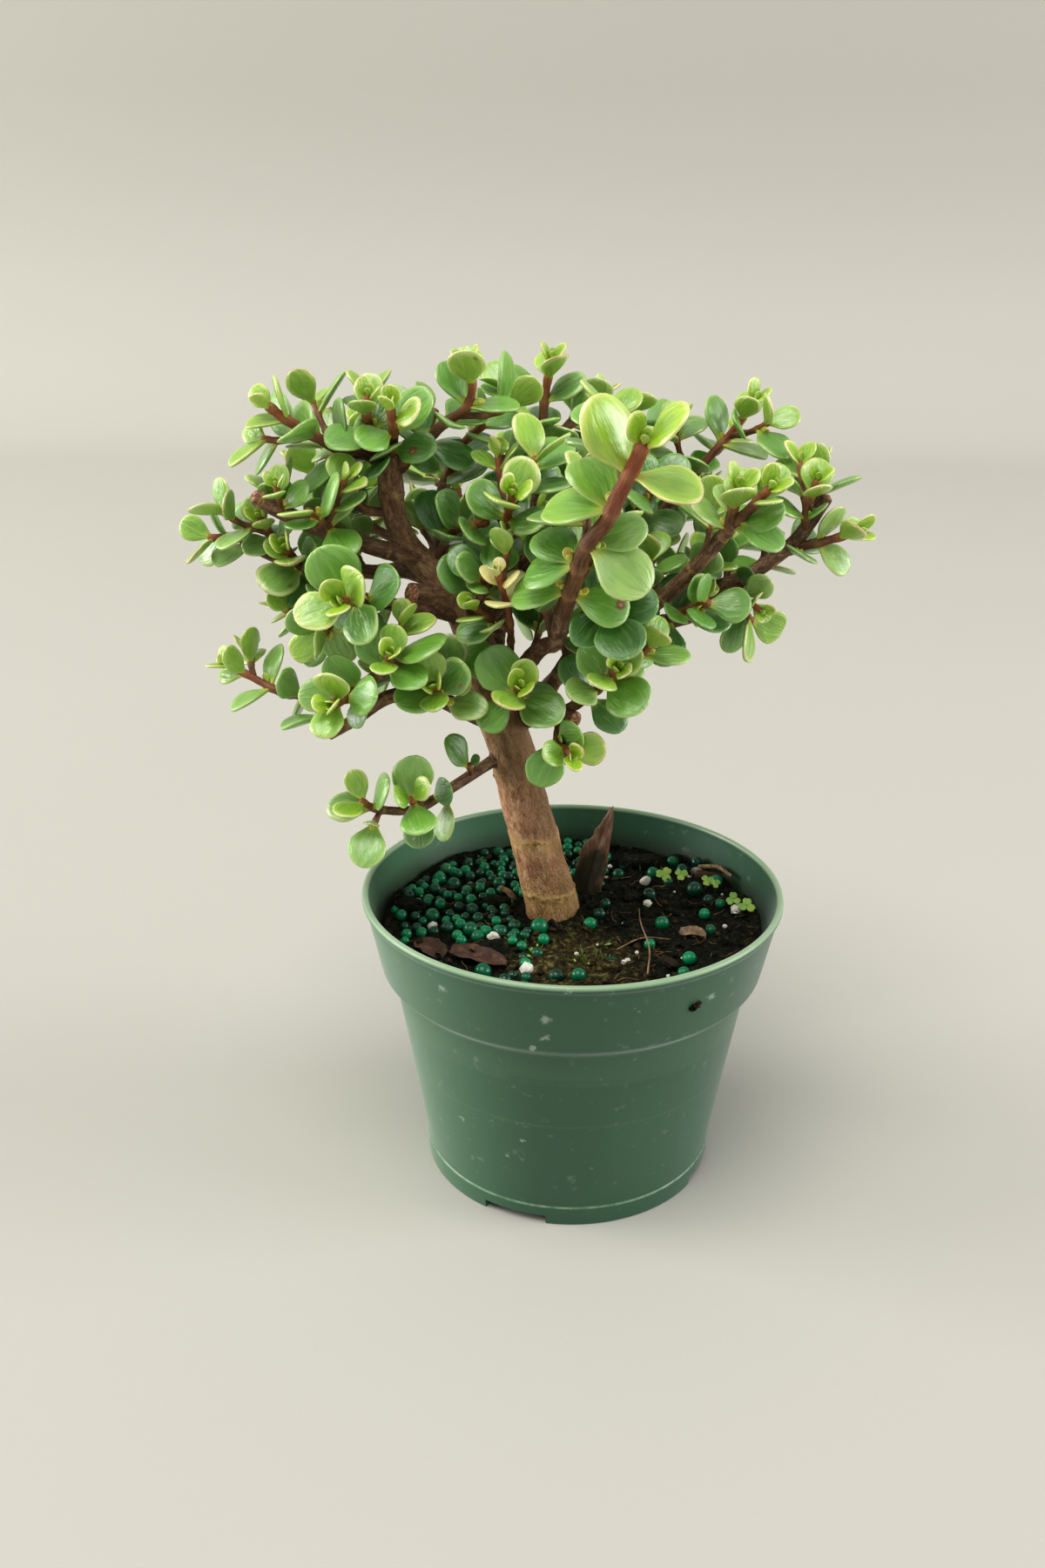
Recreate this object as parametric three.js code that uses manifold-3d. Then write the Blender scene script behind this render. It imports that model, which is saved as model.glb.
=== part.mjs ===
// Dwarf jade (variegated elephant bush) trained as a small bonsai, standing in its nursery pot.
// Units are millimetres, +Z is up, and the origin is the middle of the pot's underside.
import * as THREE from "three";
import { mergeVertices } from "three/addons/utils/BufferGeometryUtils.js";
import Module from "manifold-3d";

// Pot
const POT_HEIGHT = 96;
const RIM_RADIUS = 67.1;
const LIP = 2.4; // thickness of the rolled lip
const WALL = 1.3;
const BAND_TOP = 93; // the rim band tapers from here
const BAND_BOTTOM = 71.4; // down to here, and turns in to the body
const BODY_TOP_RADIUS = 57.4;
const BODY_TOP = 68;
const SHOULDER = 4; // how far the band's foot stands out from the body's top
const FOOT_RADIUS = 47.6;
const FOOT_HEIGHT = 6.4;
const FLOOR_TOP = 6.2;
const PAD_RADIUS = 16.5; // flat disc under the middle, level with the foot
const FLOOR_BELOW = 4.8; // height of the floor's underside round the disc
const POT_SIDES = 32;
const NOTCHES = 4; // drain notches in the foot ring
const NOTCH_WIDTH = 25; // degrees
const NOTCH_HEIGHT = 3;
const FIRST_NOTCH = -110; // degrees from +X

// Soil
const SOIL_LEVEL = 84;
const CLEARANCE = 0.3; // gap between pieces that touch
const PRILLS = 36; // fertiliser beads that are fused to the soil
const PRILL_RADIUS = 2.1;
const PRILL_SEED = 4242;
const BARE = 58.5; // beads stay this near the middle, off the pot's wall
const TRUNK_FOOT = { x: -7, y: 3, radius: 12.5 }; // and off the trunk
const SHARD_FOOT = { x: 5, y: 17, radius: 8 }; // and off the upright dead leaf
const PERLITE = [
  [25, 27, 1.9],
  [25, 10, 1.5],
  [-44, -9, 1.8],
  [-24, -18, 1.9],
  [-13, -36, 2.2],
  [54, 7, 2.3],
  [43, 35, 2.2],
];

// Leaves: widths are shares of the leaf's width, places along it are shares of its length
const LEAF_ABOVE = 1.4; // height of the crest over the leaf's middle plane
const LEAF_BELOW = 0.6; // depth of the flat underside
const CORNER_WIDTH = 1.05;
const LEAF_ROUNDNESS = 0.82; // width as a share of length
const LEAF_MIDDLE = 0.6; // where the leaf is widest
const LEAF_REACH = 0.42; // from the widest place to the tip
const LEAF_CORNERS = [0.42, 0.85]; // places of the corners on each side
const LEAF_CREST = 0.38; // where the leaf is thickest
const SPLAY = [24, 44, 60, 70, 74, 78]; // degrees between stem and leaf, tip pair first
const GROWTH = [0.5, 0.8, 1, 1, 1, 1]; // size of a pair beside a grown one, tip pair first
const SPACING = [0.5, 0.85, 1]; // of the pairs' distances, tip first
const TIP_PAIR = 1; // distance of the first pair from the tip of its stem
const TURN_SPREAD = 12; // degrees
const SPLAY_SPREAD = 9; // degrees
const LENGTH_SPREAD = 0.12;
const ROUNDNESS_SPREAD = 0.07;
const TWIST_SPREAD = 0.22;
const FIRST_SEED = 1000;
const SEED_STEP = 37; // between the seeds of two stems
const SIGHT = new THREE.Vector3(0, 0.93, -0.37).normalize(); // pairs are turned about this way
const LIGHT = new THREE.Vector3(-0.1, -0.72, 0.69).normalize(); // leaves turn their faces to it
const LIFT = 0.12; // how much leaves rise
const SAMPLES = [
  [0.32, -0.33],
  [0.32, 0.33],
  [0.3, 0],
  [0.6, -0.5],
  [0.6, 0],
  [0.6, 0.5],
  [0.88, -0.36],
  [0.88, 0],
  [0.88, 0.36],
  [1, 0],
]; // points of a leaf, along and across, that must be clear of its neighbours
const BENDS = [
  [0, 0, 1],
  [16, 0, 1],
  [-16, 0, 1],
  [0, -14, 1],
  [0, 14, 1],
  [22, -12, 0.94],
  [-22, -12, 0.94],
  [30, 8, 0.9],
  [-30, 8, 0.9],
  [0, -26, 0.88],
  [38, -16, 0.82],
  [-38, -16, 0.82],
  [0, 24, 0.8],
  [50, -10, 0.72],
  [-50, -10, 0.72],
]; // turn, splay and size that a crowded leaf tries in this order
const LEAF_GAP = 2.3; // between the middle planes of leaves of two stems
const OWN_GAP = 1.8; // the same within one stem, beyond the leaves' necks
const NECK = 0.35; // where the neck ends
const NECK_SAMPLES = 3; // how many of the points lie in the neck
const BARK_GAP = 1.7; // from a leaf's middle plane to a stem or limb
const LOWEST_LEAF = 100;

// Woody limbs, fused into one body: centre line and radius at each of its points
const LIMBS = {
  trunk: [
    [[-5, 3, 66], [-6, 3, 85], [-10.5, 3, 103], [-15, 2, 122], [-19, 1, 139], [-24, 1, 154],
      [-28, 1, 167], [-32, 1, 179], [-36, 1, 187], [-42, 0, 196]],
    [9.6, 8.8, 7.9, 7.4, 7.1, 6.7, 6.2, 5.4, 4.8, 4.3],
  ],
  limb_up: [
    [[-42, 0, 196], [-49, -1, 203], [-53, -2, 212], [-54, -3, 221], [-54, -3, 231]],
    [4.3, 3.9, 3.4, 3.7, 3.1],
  ],
  limb_left: [
    [[-47, -2, 201], [-56, -6, 204], [-66, -10, 208], [-75, -13, 212], [-84, -16, 217], [-90, -18, 221]],
    [2.8, 2.6, 2.5, 2.4, 2.3, 2.2],
  ],
  stub: [[[-36, 1, 187], [-43, -4, 190], [-48, -9, 192]], [4, 3.6, 3.2]],
  limb_front_left: [
    [[-33, 1, 182], [-42, -5, 186], [-49, -11, 188], [-55, -16, 191], [-62, -22, 194]],
    [2.4, 2.2, 2, 1.9, 1.7],
  ],
  limb_far_left: [
    [[-40, 3, 192], [-51, 7, 195], [-61, 9, 194], [-73, 8, 195], [-83, 6, 196], [-92, 4, 200], [-99, 2, 204]],
    [2.8, 2.5, 2.3, 2.2, 2, 1.8, 1.5],
  ],
  limb_low_left: [
    [[-24, 0, 149], [-35, -8, 157], [-43, -15, 163], [-54, -20, 164], [-64, -24, 158], [-71, -26, 154]],
    [2.8, 2.6, 2.4, 2.2, 1.9, 1.6],
  ],
  limb_mid_left: [
    [[-29, 0, 171], [-40, -8, 173], [-49, -15, 173], [-57, -22, 171], [-65, -27, 167]],
    [2.2, 2, 1.9, 1.7, 1.5],
  ],
  limb_lowest: [
    [[-22, -1, 140], [-32, -8, 135], [-39, -14, 132], [-45, -18, 129], [-51, -22, 129], [-58, -26, 131]],
    [2, 1.8, 1.7, 1.5, 1.4, 1.2],
  ],
  limb_right: [
    [[-21, 3, 146], [-12, 2, 153], [-8, 0, 160], [-2, -2, 172], [7, -2, 180], [15, 0, 182], [23, 2, 181],
      [33, 4, 183]],
    [2.6, 2.4, 2.2, 2, 2, 2.3, 2.4, 2.4],
  ],
  limb_far_right: [
    [[33, 4, 183], [41, 6, 191], [51, 8, 195], [63, 9, 204], [68, 9, 211], [72, 9, 218]],
    [2.4, 2.3, 2.3, 2.2, 2.2, 2.1],
  ],
  limb_mid_right: [
    [[14, -1, 182], [17, -4, 185], [24, -8, 191], [31, -12, 199], [37, -15, 207], [42, -18, 215]],
    [2.2, 2.4, 2.4, 2.3, 2.1, 1.8],
  ],
  knob: [[[-14, 2, 151], [-5, -8, 156], [0, -14, 156]], [3.2, 3, 2.4]],
  limb_front: [
    [[-22, -1, 160], [-11, -14, 177], [-6, -22, 182], [-4, -31, 193]],
    [3.2, 2.6, 2.4, 2.4],
  ],
  limb_top: [
    [[-30, 1, 174], [-27, 8, 186], [-20, 14, 198], [-14, 18, 210], [-11, 20, 222]],
    [3, 2.8, 2.5, 2.2, 2],
  ],
  limb_top_left: [
    [[-41, 2, 195], [-41, 8, 204], [-41, 10, 213], [-40, 12, 220], [-37, 14, 226]],
    [2.6, 2.3, 2.1, 1.9, 1.7],
  ],
  limb_top_right: [
    [[-29, 4, 180], [-12, 22, 194], [4, 28, 199], [19, 30, 203], [23, 30, 207]],
    [3, 2.6, 2.3, 2.1, 1.9],
  ],
  limb_back: [[[-26, 3, 164], [-24, 20, 178], [-19, 38, 190], [-12, 54, 203]], [3.2, 2.7, 2.3, 1.8]],
  limb_back_left: [[[-44, 4, 194], [-55, 20, 202], [-63, 38, 211]], [2.6, 2.2, 1.7]],
  limb_back_right: [[[-18, 3, 150], [-2, 16, 164], [14, 32, 178], [24, 50, 190]], [2.8, 2.4, 2.1, 1.7]],
};

// Leafy stems. Each has its name, its centre line from inside the limb to the tip, its radius there and at
// the tip, the number of leaf pairs, their spacing, the turn of the tip pair in degrees, and the length of
// a grown leaf. face is how far the leaves turn to the light, and age skips that many young pairs at the
// tip. pose gives each pair's distance from the tip, and the turn, splay and share of length of both leaves.
const STEMS = [
  ["front_arch", [[-4, -30, 192], [-1, -38, 203], [2, -46, 214], [7, -52, 222], [10, -57, 230], [13, -61, 237],
    [15, -65, 243]], 2.5, 1.9, 6, 10, 0, 17, { face: 0.6, pose: [
    [1, [20, 25, 0.5], [180, 32, 0.8]],
    [10, [0, 51, 1.05], [180, 88, 0.98]],
    [23, [5, 125, 0.95], [-50, 80, 0.9]],
    [36, [180, 99, 1.1], [230, 75, 0.9]],
    [45, [15, 135, 0.9], [-35, 100, 0.85]],
    [56, [180, 84, 0.85], [10, 125, 0.9]],
  ] }],
  ["rosette_left", [[-58, -18, 192], [-61, -26, 194], [-64, -36, 196]], 1.9, 1.3, 4, 6, 0, 16.5, { face: 0.5 }],
  ["pair_left", [[-57, -22, 171], [-53, -30, 175], [-51, -38, 182]], 1.5, 1, 3, 6, 0, 13, { face: 0.5 }],
  ["rosette_mid", [[-37, -10, 159], [-39, -20, 164], [-40, -31, 171]], 1.6, 1, 4, 7, 0, 14, { face: 0.5 }],
  ["bud_left", [[-60, -24, 169], [-64, -30, 167], [-67, -40, 168]], 1.6, 1.1, 4, 6, 45, 14, { face: 0.5 }],
  ["pair_centre", [[-23, -4, 158], [-18, -16, 163], [-16, -28, 170]], 1.6, 1.1, 4, 7, 0, 14.5, { face: 0.5 }],
  ["rosette_right", [[-5, -8, 156], [3, -16, 163], [8, -26, 171], [11, -36, 178]], 1.6, 1.1, 5, 7, 0, 14.5,
    { face: 0.5 }],
  ["low_right", [[-4, -10, 155], [-5, -18, 151], [-1, -28, 150]], 1.5, 1, 4, 7, 40, 14, { face: 0.5 }],
  ["centre_pair", [[-24, 8, 191], [-22, -6, 206], [-18, -26, 224]], 1.5, 1.1, 4, 9, 0, 14.5, { face: 0.5 }],
  ["left_crown", [[-54, -3, 226], [-60, -6, 231], [-66, -8, 232], [-73, -10, 236], [-81, -12, 241],
    [-86, -13, 245]], 1.9, 1.3, 6, 10, 70, 14.5, {}],
  ["left_crown", [[-55, -3, 229], [-58, -8, 237], [-59, -12, 242], [-58, -14, 248]], 1.7, 1.2, 4, 8, 0, 13, {}],
  ["left_crown", [[-54, -3, 229], [-52, -10, 236], [-51, -18, 241], [-51, -22, 246]], 1.7, 1.2, 4, 8, 80, 14,
    { face: 0.6 }],
  ["peak_left", [[-53, -3, 226], [-47, -5, 232], [-44, -5, 234], [-38, -6, 240], [-32, -7, 244], [-30, -8, 250],
    [-31, -9, 256]], 1.8, 1.1, 7, 8, 0, 14, {}],
  ["peak_mid", [[-11, 20, 218], [-11, 20, 230], [-11, 20, 242], [-9, 20, 255]], 1.9, 1.1, 7, 8, 10, 14, {}],
  ["peak_mid", [[-10, 20, 227], [-4, 22, 236], [1, 24, 238], [6, 26, 245]], 1.6, 1.1, 5, 9, 20, 14, {}],
  ["right_spire", [[22, 30, 205], [35, 30, 221], [40, 30, 227], [46, 30, 234], [52, 30, 243]], 1.7, 1, 5, 11, 0, 13,
    {}],
  ["right_fan", [[41, -17, 212], [42, -19, 219], [43, -20, 225]], 1.8, 1.3, 4, 8, 0, 15, {}],
  ["right_fan", [[42, -17, 214], [47, -20, 220], [51, -24, 226]], 1.7, 1.2, 4, 9, 0, 14, {}],
  ["far_right_top", [[67, 9, 208], [66, 5, 215], [68, 3, 224]], 1.5, 1.1, 4, 8, 0, 13, {}],
  ["far_right_side", [[61, 9, 202], [67, 8, 204], [73, 6, 206], [81, 4, 209]], 1.7, 1.1, 6, 8, 20, 13.5, {}],
  ["right_sprig", [[51, 8, 194], [48, 2, 191], [50, -4, 190], [53, -8, 188]], 1, 0.8, 4, 6, 0, 9, {}],
  ["left_cut_sprig", [[-83, -16, 216], [-83, -19, 220], [-83, -22, 225]], 1, 0.8, 3, 6, 0, 10, {}],
  ["left_bud", [[-84, 5, 197], [-88, -4, 206], [-91, -10, 214]], 1.3, 1, 4, 7, 0, 10.5, {}],
  ["far_left", [[-96, 3, 202], [-101, 0, 206], [-108, -3, 206]], 1.3, 1, 4, 8, 30, 13, { age: 1 }],
  ["left_over", [[-69, -11, 209], [-71, -18, 214], [-75, -22, 218]], 1.2, 1, 4, 7, 60, 14, { age: 1 }],
  ["left_under", [[-80, 6, 195], [-81, -6, 199], [-83, -14, 206]], 1.4, 1.1, 4, 8, 0, 14, {}],
  ["rosette_small", [[-62, -21, 194], [-79, -12, 186], [-89, -8, 188]], 1.2, 0.9, 4, 9, 40, 10, {}],
  ["low_left_long", [[-67, -25, 156], [-75, -22, 162], [-80, -20, 164], [-85, -19, 164], [-94, -17, 168],
    [-102, -16, 172]], 1.5, 1, 6, 10, 20, 13.5, {}],
  ["lowest_tip", [[-55, -24, 130], [-58, -26, 131], [-62, -29, 135]], 1.2, 0.9, 4, 8, 40, 13,
    { face: 0.6, age: 1 }],
  ["lowest_mid", [[-40, -14, 131], [-46, -24, 132], [-47, -32, 137]], 1.2, 0.9, 4, 7, 0, 12.5,
    { face: 0.6, age: 1 }],
  ["cream_sprig", [[-20, -3, 165], [-19, -18, 186], [-22, -28, 203]], 1.2, 0.9, 3, 8, 60, 10, {}],
  ["inner_front", [[-33, 1, 183], [-27, -12, 193], [-26, -22, 201]], 1.6, 1.2, 3, 9, 30, 14, { age: 1 }],
  ["inner_front_right", [[-6, -20, 181], [-9, -20, 192], [-12, -24, 203]], 1.6, 1.2, 3, 9, 60, 15, { age: 1 }],
  ["inner_fork", [[-43, 1, 197], [-36, -4, 209], [-26, -14, 214]], 1.6, 1.2, 4, 8, 60, 14, { age: 1 }],
  ["inner_right_low", [[7, -2, 180], [6, -20, 190], [8, -34, 194]], 1.6, 1.2, 3, 7, 60, 15, { age: 2 }],
  ["inner_right_side", [[25, 2, 181], [30, -10, 188], [37, -18, 193]], 1.4, 1, 4, 8, 60, 13.5, { age: 1 }],
  ["inner_right_top", [[10, 29, 200], [17, 20, 210], [22, 10, 220]], 1.5, 1.1, 4, 9, 0, 14, { age: 1 }],
  ["inner_up_right", [[-54, -3, 224], [-46, 4, 232], [-42, 8, 242]], 1.5, 1.1, 4, 8, 0, 14, { age: 1 }],
  ["inner_up_back", [[-40, 12, 219], [-36, 10, 230], [-28, 8, 238]], 1.5, 1.1, 4, 8, 40, 14.5, { age: 1 }],
  ["inner_top_front", [[-16, 17, 206], [-20, 8, 214], [-22, 0, 230]], 1.5, 1.1, 4, 8, 0, 14.5, { age: 1 }],
  ["inner_top_right", [[4, 28, 199], [8, 20, 212], [10, 12, 224]], 1.5, 1.1, 4, 8, 0, 14.5, { age: 1 }],
  ["inner_up_left", [[-53, -2, 214], [-62, -6, 216], [-66, -8, 224]], 1.5, 1.1, 3, 8, 0, 14, { age: 1 }],
  ["inner_right_back", [[20, 30, 204], [22, 36, 220], [20, 40, 232]], 1.5, 1.1, 4, 9, 0, 14, { age: 1 }],
  ["back_left_tip", [[-62, 36, 210], [-68, 46, 221], [-70, 52, 232]], 1.6, 1.2, 4, 9, 0, 14.5, {}],
  ["back_left_side", [[-54, 18, 201], [-66, 24, 206], [-78, 28, 214], [-86, 30, 224]], 1.6, 1.1, 4, 9, 0, 14, {}],
  ["back_tip", [[-14, 51, 201], [-8, 64, 212], [-6, 70, 224]], 1.7, 1.2, 4, 8, 0, 15, {}],
  ["back_mid_left", [[-20, 36, 188], [-30, 46, 196], [-38, 54, 206], [-42, 58, 216]], 1.6, 1.1, 4, 9, 0, 14.5, {}],
  ["back_mid_right", [[-19, 38, 190], [-8, 42, 200], [2, 46, 212], [6, 48, 222]], 1.6, 1.1, 4, 9, 0, 14.5, {}],
  ["back_right_tip", [[23, 48, 189], [30, 58, 200], [34, 62, 212]], 1.6, 1.2, 4, 8, 0, 14.5, {}],
  ["back_right_side", [[14, 32, 178], [28, 30, 184], [42, 30, 194], [50, 32, 206]], 1.6, 1.1, 4, 9, 0, 14.5, {}],
  ["back_low", [[-6, 13, 161], [6, 28, 162], [12, 40, 166]], 1.5, 1, 4, 8, 0, 14, {}],
];

// Dead leaves: an upright shard in the soil and three that lie on it
const SHARD = [[5, 17, 77, 7], [5.5, 16.5, 90, 11.5], [8.5, 15, 104, 8.5], [12.5, 14, 117, 1.4]]; // centre, width
const SHARD_THICKNESS = 1.2;
const FALLEN = [
  ["fallen_leaf_left", -43, -24, 13, 9, -50],
  ["fallen_leaf_front", -28, -31, 19, 10, -22],
  ["fallen_leaf_right", 38, -13, 9, 7, -30],
]; // middle, length, width and turn in degrees
const FALLEN_THICKNESS = 0.9;

const wasm = await Module();
wasm.setup();

const radians = THREE.MathUtils.degToRad;
const vector = (p) => new THREE.Vector3(p[0], p[1], p[2]);

// A repeatable sequence of numbers between 0 and 1.
function draws(seed) {
  let state = seed;
  return () => {
    state = (state * 16807) % 2147483647;
    return state / 2147483647;
  };
}

// ---- solids ----

function geometryOf(points, triangles) {
  const geometry = new THREE.BufferGeometry();
  const positions = points.flatMap((p) => [p.x, p.y, p.z]);
  geometry.setAttribute("position", new THREE.Float32BufferAttribute(positions, 3));
  geometry.setIndex(triangles.flat());
  return geometry;
}

function solid(geometry) {
  const bare = geometry.clone();
  bare.deleteAttribute("normal");
  bare.deleteAttribute("uv");
  const merged = mergeVertices(bare, 1e-4);
  return new wasm.Manifold(
    new wasm.Mesh({
      numProp: 3,
      vertProperties: new Float32Array(merged.attributes.position.array),
      triVerts: new Uint32Array(merged.index.array),
    }),
  );
}

function joined(solids) {
  return solids.reduce((whole, piece) => whole.add(piece));
}

// The largest body of a cut solid, without the scraps that stay inside the limb.
function largest(cut) {
  return cut.decompose().reduce((a, b) => (b.volume() > a.volume() ? b : a));
}

function meshOf(made, name, material, origin) {
  const { numProp, vertProperties, triVerts } = made.getMesh();
  const positions = [];
  for (let i = 0; i < vertProperties.length; i += numProp) positions.push(...vertProperties.slice(i, i + 3));
  const geometry = new THREE.BufferGeometry();
  geometry.setAttribute("position", new THREE.Float32BufferAttribute(positions, 3));
  geometry.setIndex([...triVerts]);
  geometry.translate(-origin.x, -origin.y, -origin.z);
  geometry.computeVertexNormals();
  const mesh = new THREE.Mesh(geometry, material);
  mesh.name = name;
  mesh.position.copy(origin);
  return mesh;
}

// Closed surface over rings of equally many points, from the first ring's cap to the last ring's.
function overRings(rings, firstPole, lastPole) {
  const sides = rings[0].length;
  const points = [...rings.flat(), firstPole, lastPole];
  const first = points.length - 2;
  const last = points.length - 1;
  const top = (rings.length - 1) * sides;
  const triangles = [];
  for (let i = 0; i < sides; i++) {
    const j = (i + 1) % sides;
    triangles.push([first, j, i], [last, top + i, top + j]);
    for (let k = 0; k < rings.length - 1; k++) {
      const a = k * sides;
      const b = a + sides;
      triangles.push([a + i, a + j, b + j], [a + i, b + j, b + i]);
    }
  }
  return geometryOf(points, triangles);
}

// ---- stems and limbs ----

const STEPS = 8; // samples of a centre line between two of its points
const TRUNK_SIDES = 10;
const LIMB_SIDES = 5;
const STEM_SIDES = 4;

function centreLine(points) {
  const curve = new THREE.CatmullRomCurve3(points.map(vector), false, "catmullrom", 0.5);
  return curve.getPoints((points.length - 1) * STEPS);
}

function radiusAt(radii, share) {
  const place = share * (radii.length - 1);
  const i = Math.min(Math.floor(place), radii.length - 2);
  return radii[i] + (radii[i + 1] - radii[i]) * (place - i);
}

// A tapering round limb along a centre line, with every step-th sample as a ring.
function limbSolid(line, radii, sides, step, grown) {
  const rings = [];
  let across = new THREE.Vector3(0, -1, 0.2);
  const tangent = (i) =>
    line[Math.min(i + 1, line.length - 1)].clone().sub(line[Math.max(i - 1, 0)]).normalize();
  for (let i = 0; i < line.length; i += step) {
    const along = tangent(i);
    across = across.clone().addScaledVector(along, -across.dot(along)).normalize();
    const side = new THREE.Vector3().crossVectors(along, across);
    const radius = radiusAt(radii, i / (line.length - 1)) + grown;
    const ring = [];
    for (let k = 0; k < sides; k++) {
      const angle = (2 * Math.PI * k) / sides;
      const out = across.clone().multiplyScalar(Math.cos(angle)).addScaledVector(side, Math.sin(angle));
      ring.push(line[i].clone().addScaledVector(out, radius));
    }
    rings.push(ring);
  }
  const end = line.length - 1;
  const start = line[0].clone().addScaledVector(tangent(0), -grown - 0.4 * radii[0]);
  const stop = line[end].clone().addScaledVector(tangent(end), grown + 0.4 * radii[radii.length - 1]);
  return solid(overRings(rings, start, stop));
}

function woodSolid(grown) {
  return joined(
    Object.entries(LIMBS).map(([name, [points, radii]]) => {
      const sides = name === "trunk" ? TRUNK_SIDES : LIMB_SIDES;
      return limbSolid(centreLine(points), radii, sides, STEPS, grown);
    }),
  );
}

// ---- leaves ----

function halfWidth(along) {
  const from = (along - LEAF_MIDDLE) / LEAF_REACH;
  return 0.5 * Math.sqrt(Math.max(0.04, 1 - from * from));
}

function pointOf(leaf, along, across, up) {
  return leaf.base
    .clone()
    .addScaledVector(leaf.way, leaf.length * along)
    .addScaledVector(leaf.side, leaf.width * across)
    .addScaledVector(leaf.face, up);
}

const middleOf = (leaf) => leaf.samples[4];

// A leaf that leaves its stem at a turn and a splay, and faces the tip and the light.
function leafAt(node, turn, splay, size, roundness, twist) {
  const out = node.first.clone().multiplyScalar(Math.cos(turn)).addScaledVector(node.second, Math.sin(turn));
  const way = node.along
    .clone()
    .multiplyScalar(Math.cos(splay))
    .addScaledVector(out, Math.sin(splay))
    .add(new THREE.Vector3(0, 0, LIFT))
    .normalize();
  const face = node.along.clone().multiplyScalar(Math.sin(splay)).addScaledVector(out, -Math.cos(splay));
  face.multiplyScalar(1 - node.turning).addScaledVector(LIGHT, node.turning);
  face.addScaledVector(way, -face.dot(way)).normalize();
  face.addScaledVector(new THREE.Vector3().crossVectors(face, way), twist).normalize();
  const leaf = {
    node: node.name,
    root: node.place.clone().addScaledVector(way, -0.35 * node.radius),
    base: node.place.clone().addScaledVector(out, 0.5 * node.radius),
    way,
    face,
    side: new THREE.Vector3().crossVectors(face, way),
    length: size,
    width: size * roundness,
  };
  leaf.samples = SAMPLES.map(([along, across]) => pointOf(leaf, along, across, 0));
  return leaf;
}

// Whether any of the points lies within gap of the leaf's middle plane, inside its outline.
function reaches(points, leaf, gap, from) {
  return points.some((point) => {
    const offset = point.clone().sub(leaf.base);
    const along = offset.dot(leaf.way) / leaf.length;
    if (along <= from || along >= 1.07 || Math.abs(offset.dot(leaf.face)) >= gap) return false;
    return Math.abs(offset.dot(leaf.side)) / leaf.width < halfWidth(along) + 0.06;
  });
}

function isClear(leaf, placed, tubes) {
  if (leaf.samples.some((p) => p.z < LOWEST_LEAF)) return false;
  for (const other of placed) {
    const near = LEAF_MIDDLE * (other.length + leaf.length) + 4;
    if (middleOf(other).distanceTo(middleOf(leaf)) > near) continue;
    if (other.node === leaf.node) {
      if (reaches(leaf.samples.slice(NECK_SAMPLES), other, OWN_GAP, NECK)) return false;
      if (reaches(other.samples.slice(NECK_SAMPLES), leaf, OWN_GAP, NECK)) return false;
    } else {
      if (reaches(leaf.samples, other, LEAF_GAP, 0)) return false;
      if (reaches(other.samples, leaf, LEAF_GAP, 0)) return false;
    }
  }
  return !tubes.some(
    (tube) =>
      tube.name !== leaf.node &&
      tube.line.some((p, i) => leaf.samples.some((q) => q.distanceTo(p) - tube.radii[i] < BARK_GAP)),
  );
}

function tubeOf(name, points, radii) {
  const line = centreLine(points);
  return { name, line, radii: line.map((p, i) => radiusAt(radii, i / (line.length - 1))) };
}

// The place on a centre line at a distance from its start, with the direction there.
function alongLine(line, distance) {
  let left = distance;
  let i = 0;
  while (i < line.length - 2 && left > line[i].distanceTo(line[i + 1])) {
    left -= line[i].distanceTo(line[i + 1]);
    i++;
  }
  const along = line[i + 1].clone().sub(line[i]);
  const share = left / along.length();
  return { place: line[i].clone().addScaledVector(along, share), along: along.normalize() };
}

function lengthOf(line) {
  return line.slice(1).reduce((sum, p, i) => sum + p.distanceTo(line[i]), 0);
}

// Leaf pairs down each stem from its tip. A leaf that would touch another bends clear, or isn't there.
function growLeaves() {
  const tubes = [
    ...Object.entries(LIMBS).map(([name, [points, radii]]) => tubeOf(name, points, radii)),
    ...STEMS.map(([name, points, thick, thin]) => tubeOf(name, points, [thick, thin])),
  ];
  const placed = [];
  STEMS.forEach(([name, points, thick, thin, pairs, spacing, roll, grownLength, options], index) => {
    const { face = 0.45, age = 0, pose } = options;
    const line = centreLine(points);
    const total = lengthOf(line);
    const draw = draws(FIRST_SEED + SEED_STEP * index);
    const spread = (most) => (draw() * 2 - 1) * most;
    let back = TIP_PAIR;
    for (let pair = 0; pair < pairs && total - back >= 1; pair++) {
      const posed = pose?.[pair];
      if (posed) back = posed[0];
      const node = alongLine(line, total - back);
      node.name = name;
      node.turning = face;
      node.radius = thick + ((thin - thick) * (total - back)) / total;
      node.first = new THREE.Vector3().crossVectors(node.along, SIGHT).normalize();
      node.second = new THREE.Vector3().crossVectors(node.along, node.first);
      const grown = Math.min(pair + age, GROWTH.length - 1);
      for (const side of [0, 1]) {
        const usual = [roll + 90 * pair + 180 * side, SPLAY[grown], GROWTH[grown]];
        const [around, open, share] = posed?.[side + 1] ?? usual;
        const turn = around + spread(TURN_SPREAD);
        const splay = open + spread(SPLAY_SPREAD);
        const length = grownLength * share * (1 + spread(LENGTH_SPREAD));
        const roundness = LEAF_ROUNDNESS + spread(ROUNDNESS_SPREAD);
        const twist = spread(TWIST_SPREAD);
        for (const [bend, more, scale] of BENDS) {
          const size = length * scale;
          const leaf = leafAt(node, radians(turn + bend), radians(splay + more), size, roundness, twist);
          if (isClear(leaf, placed, tubes)) {
            placed.push(leaf);
            break;
          }
        }
      }
      back += spacing * SPACING[Math.min(pair, SPACING.length - 1)];
    }
  });
  return placed;
}

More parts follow.
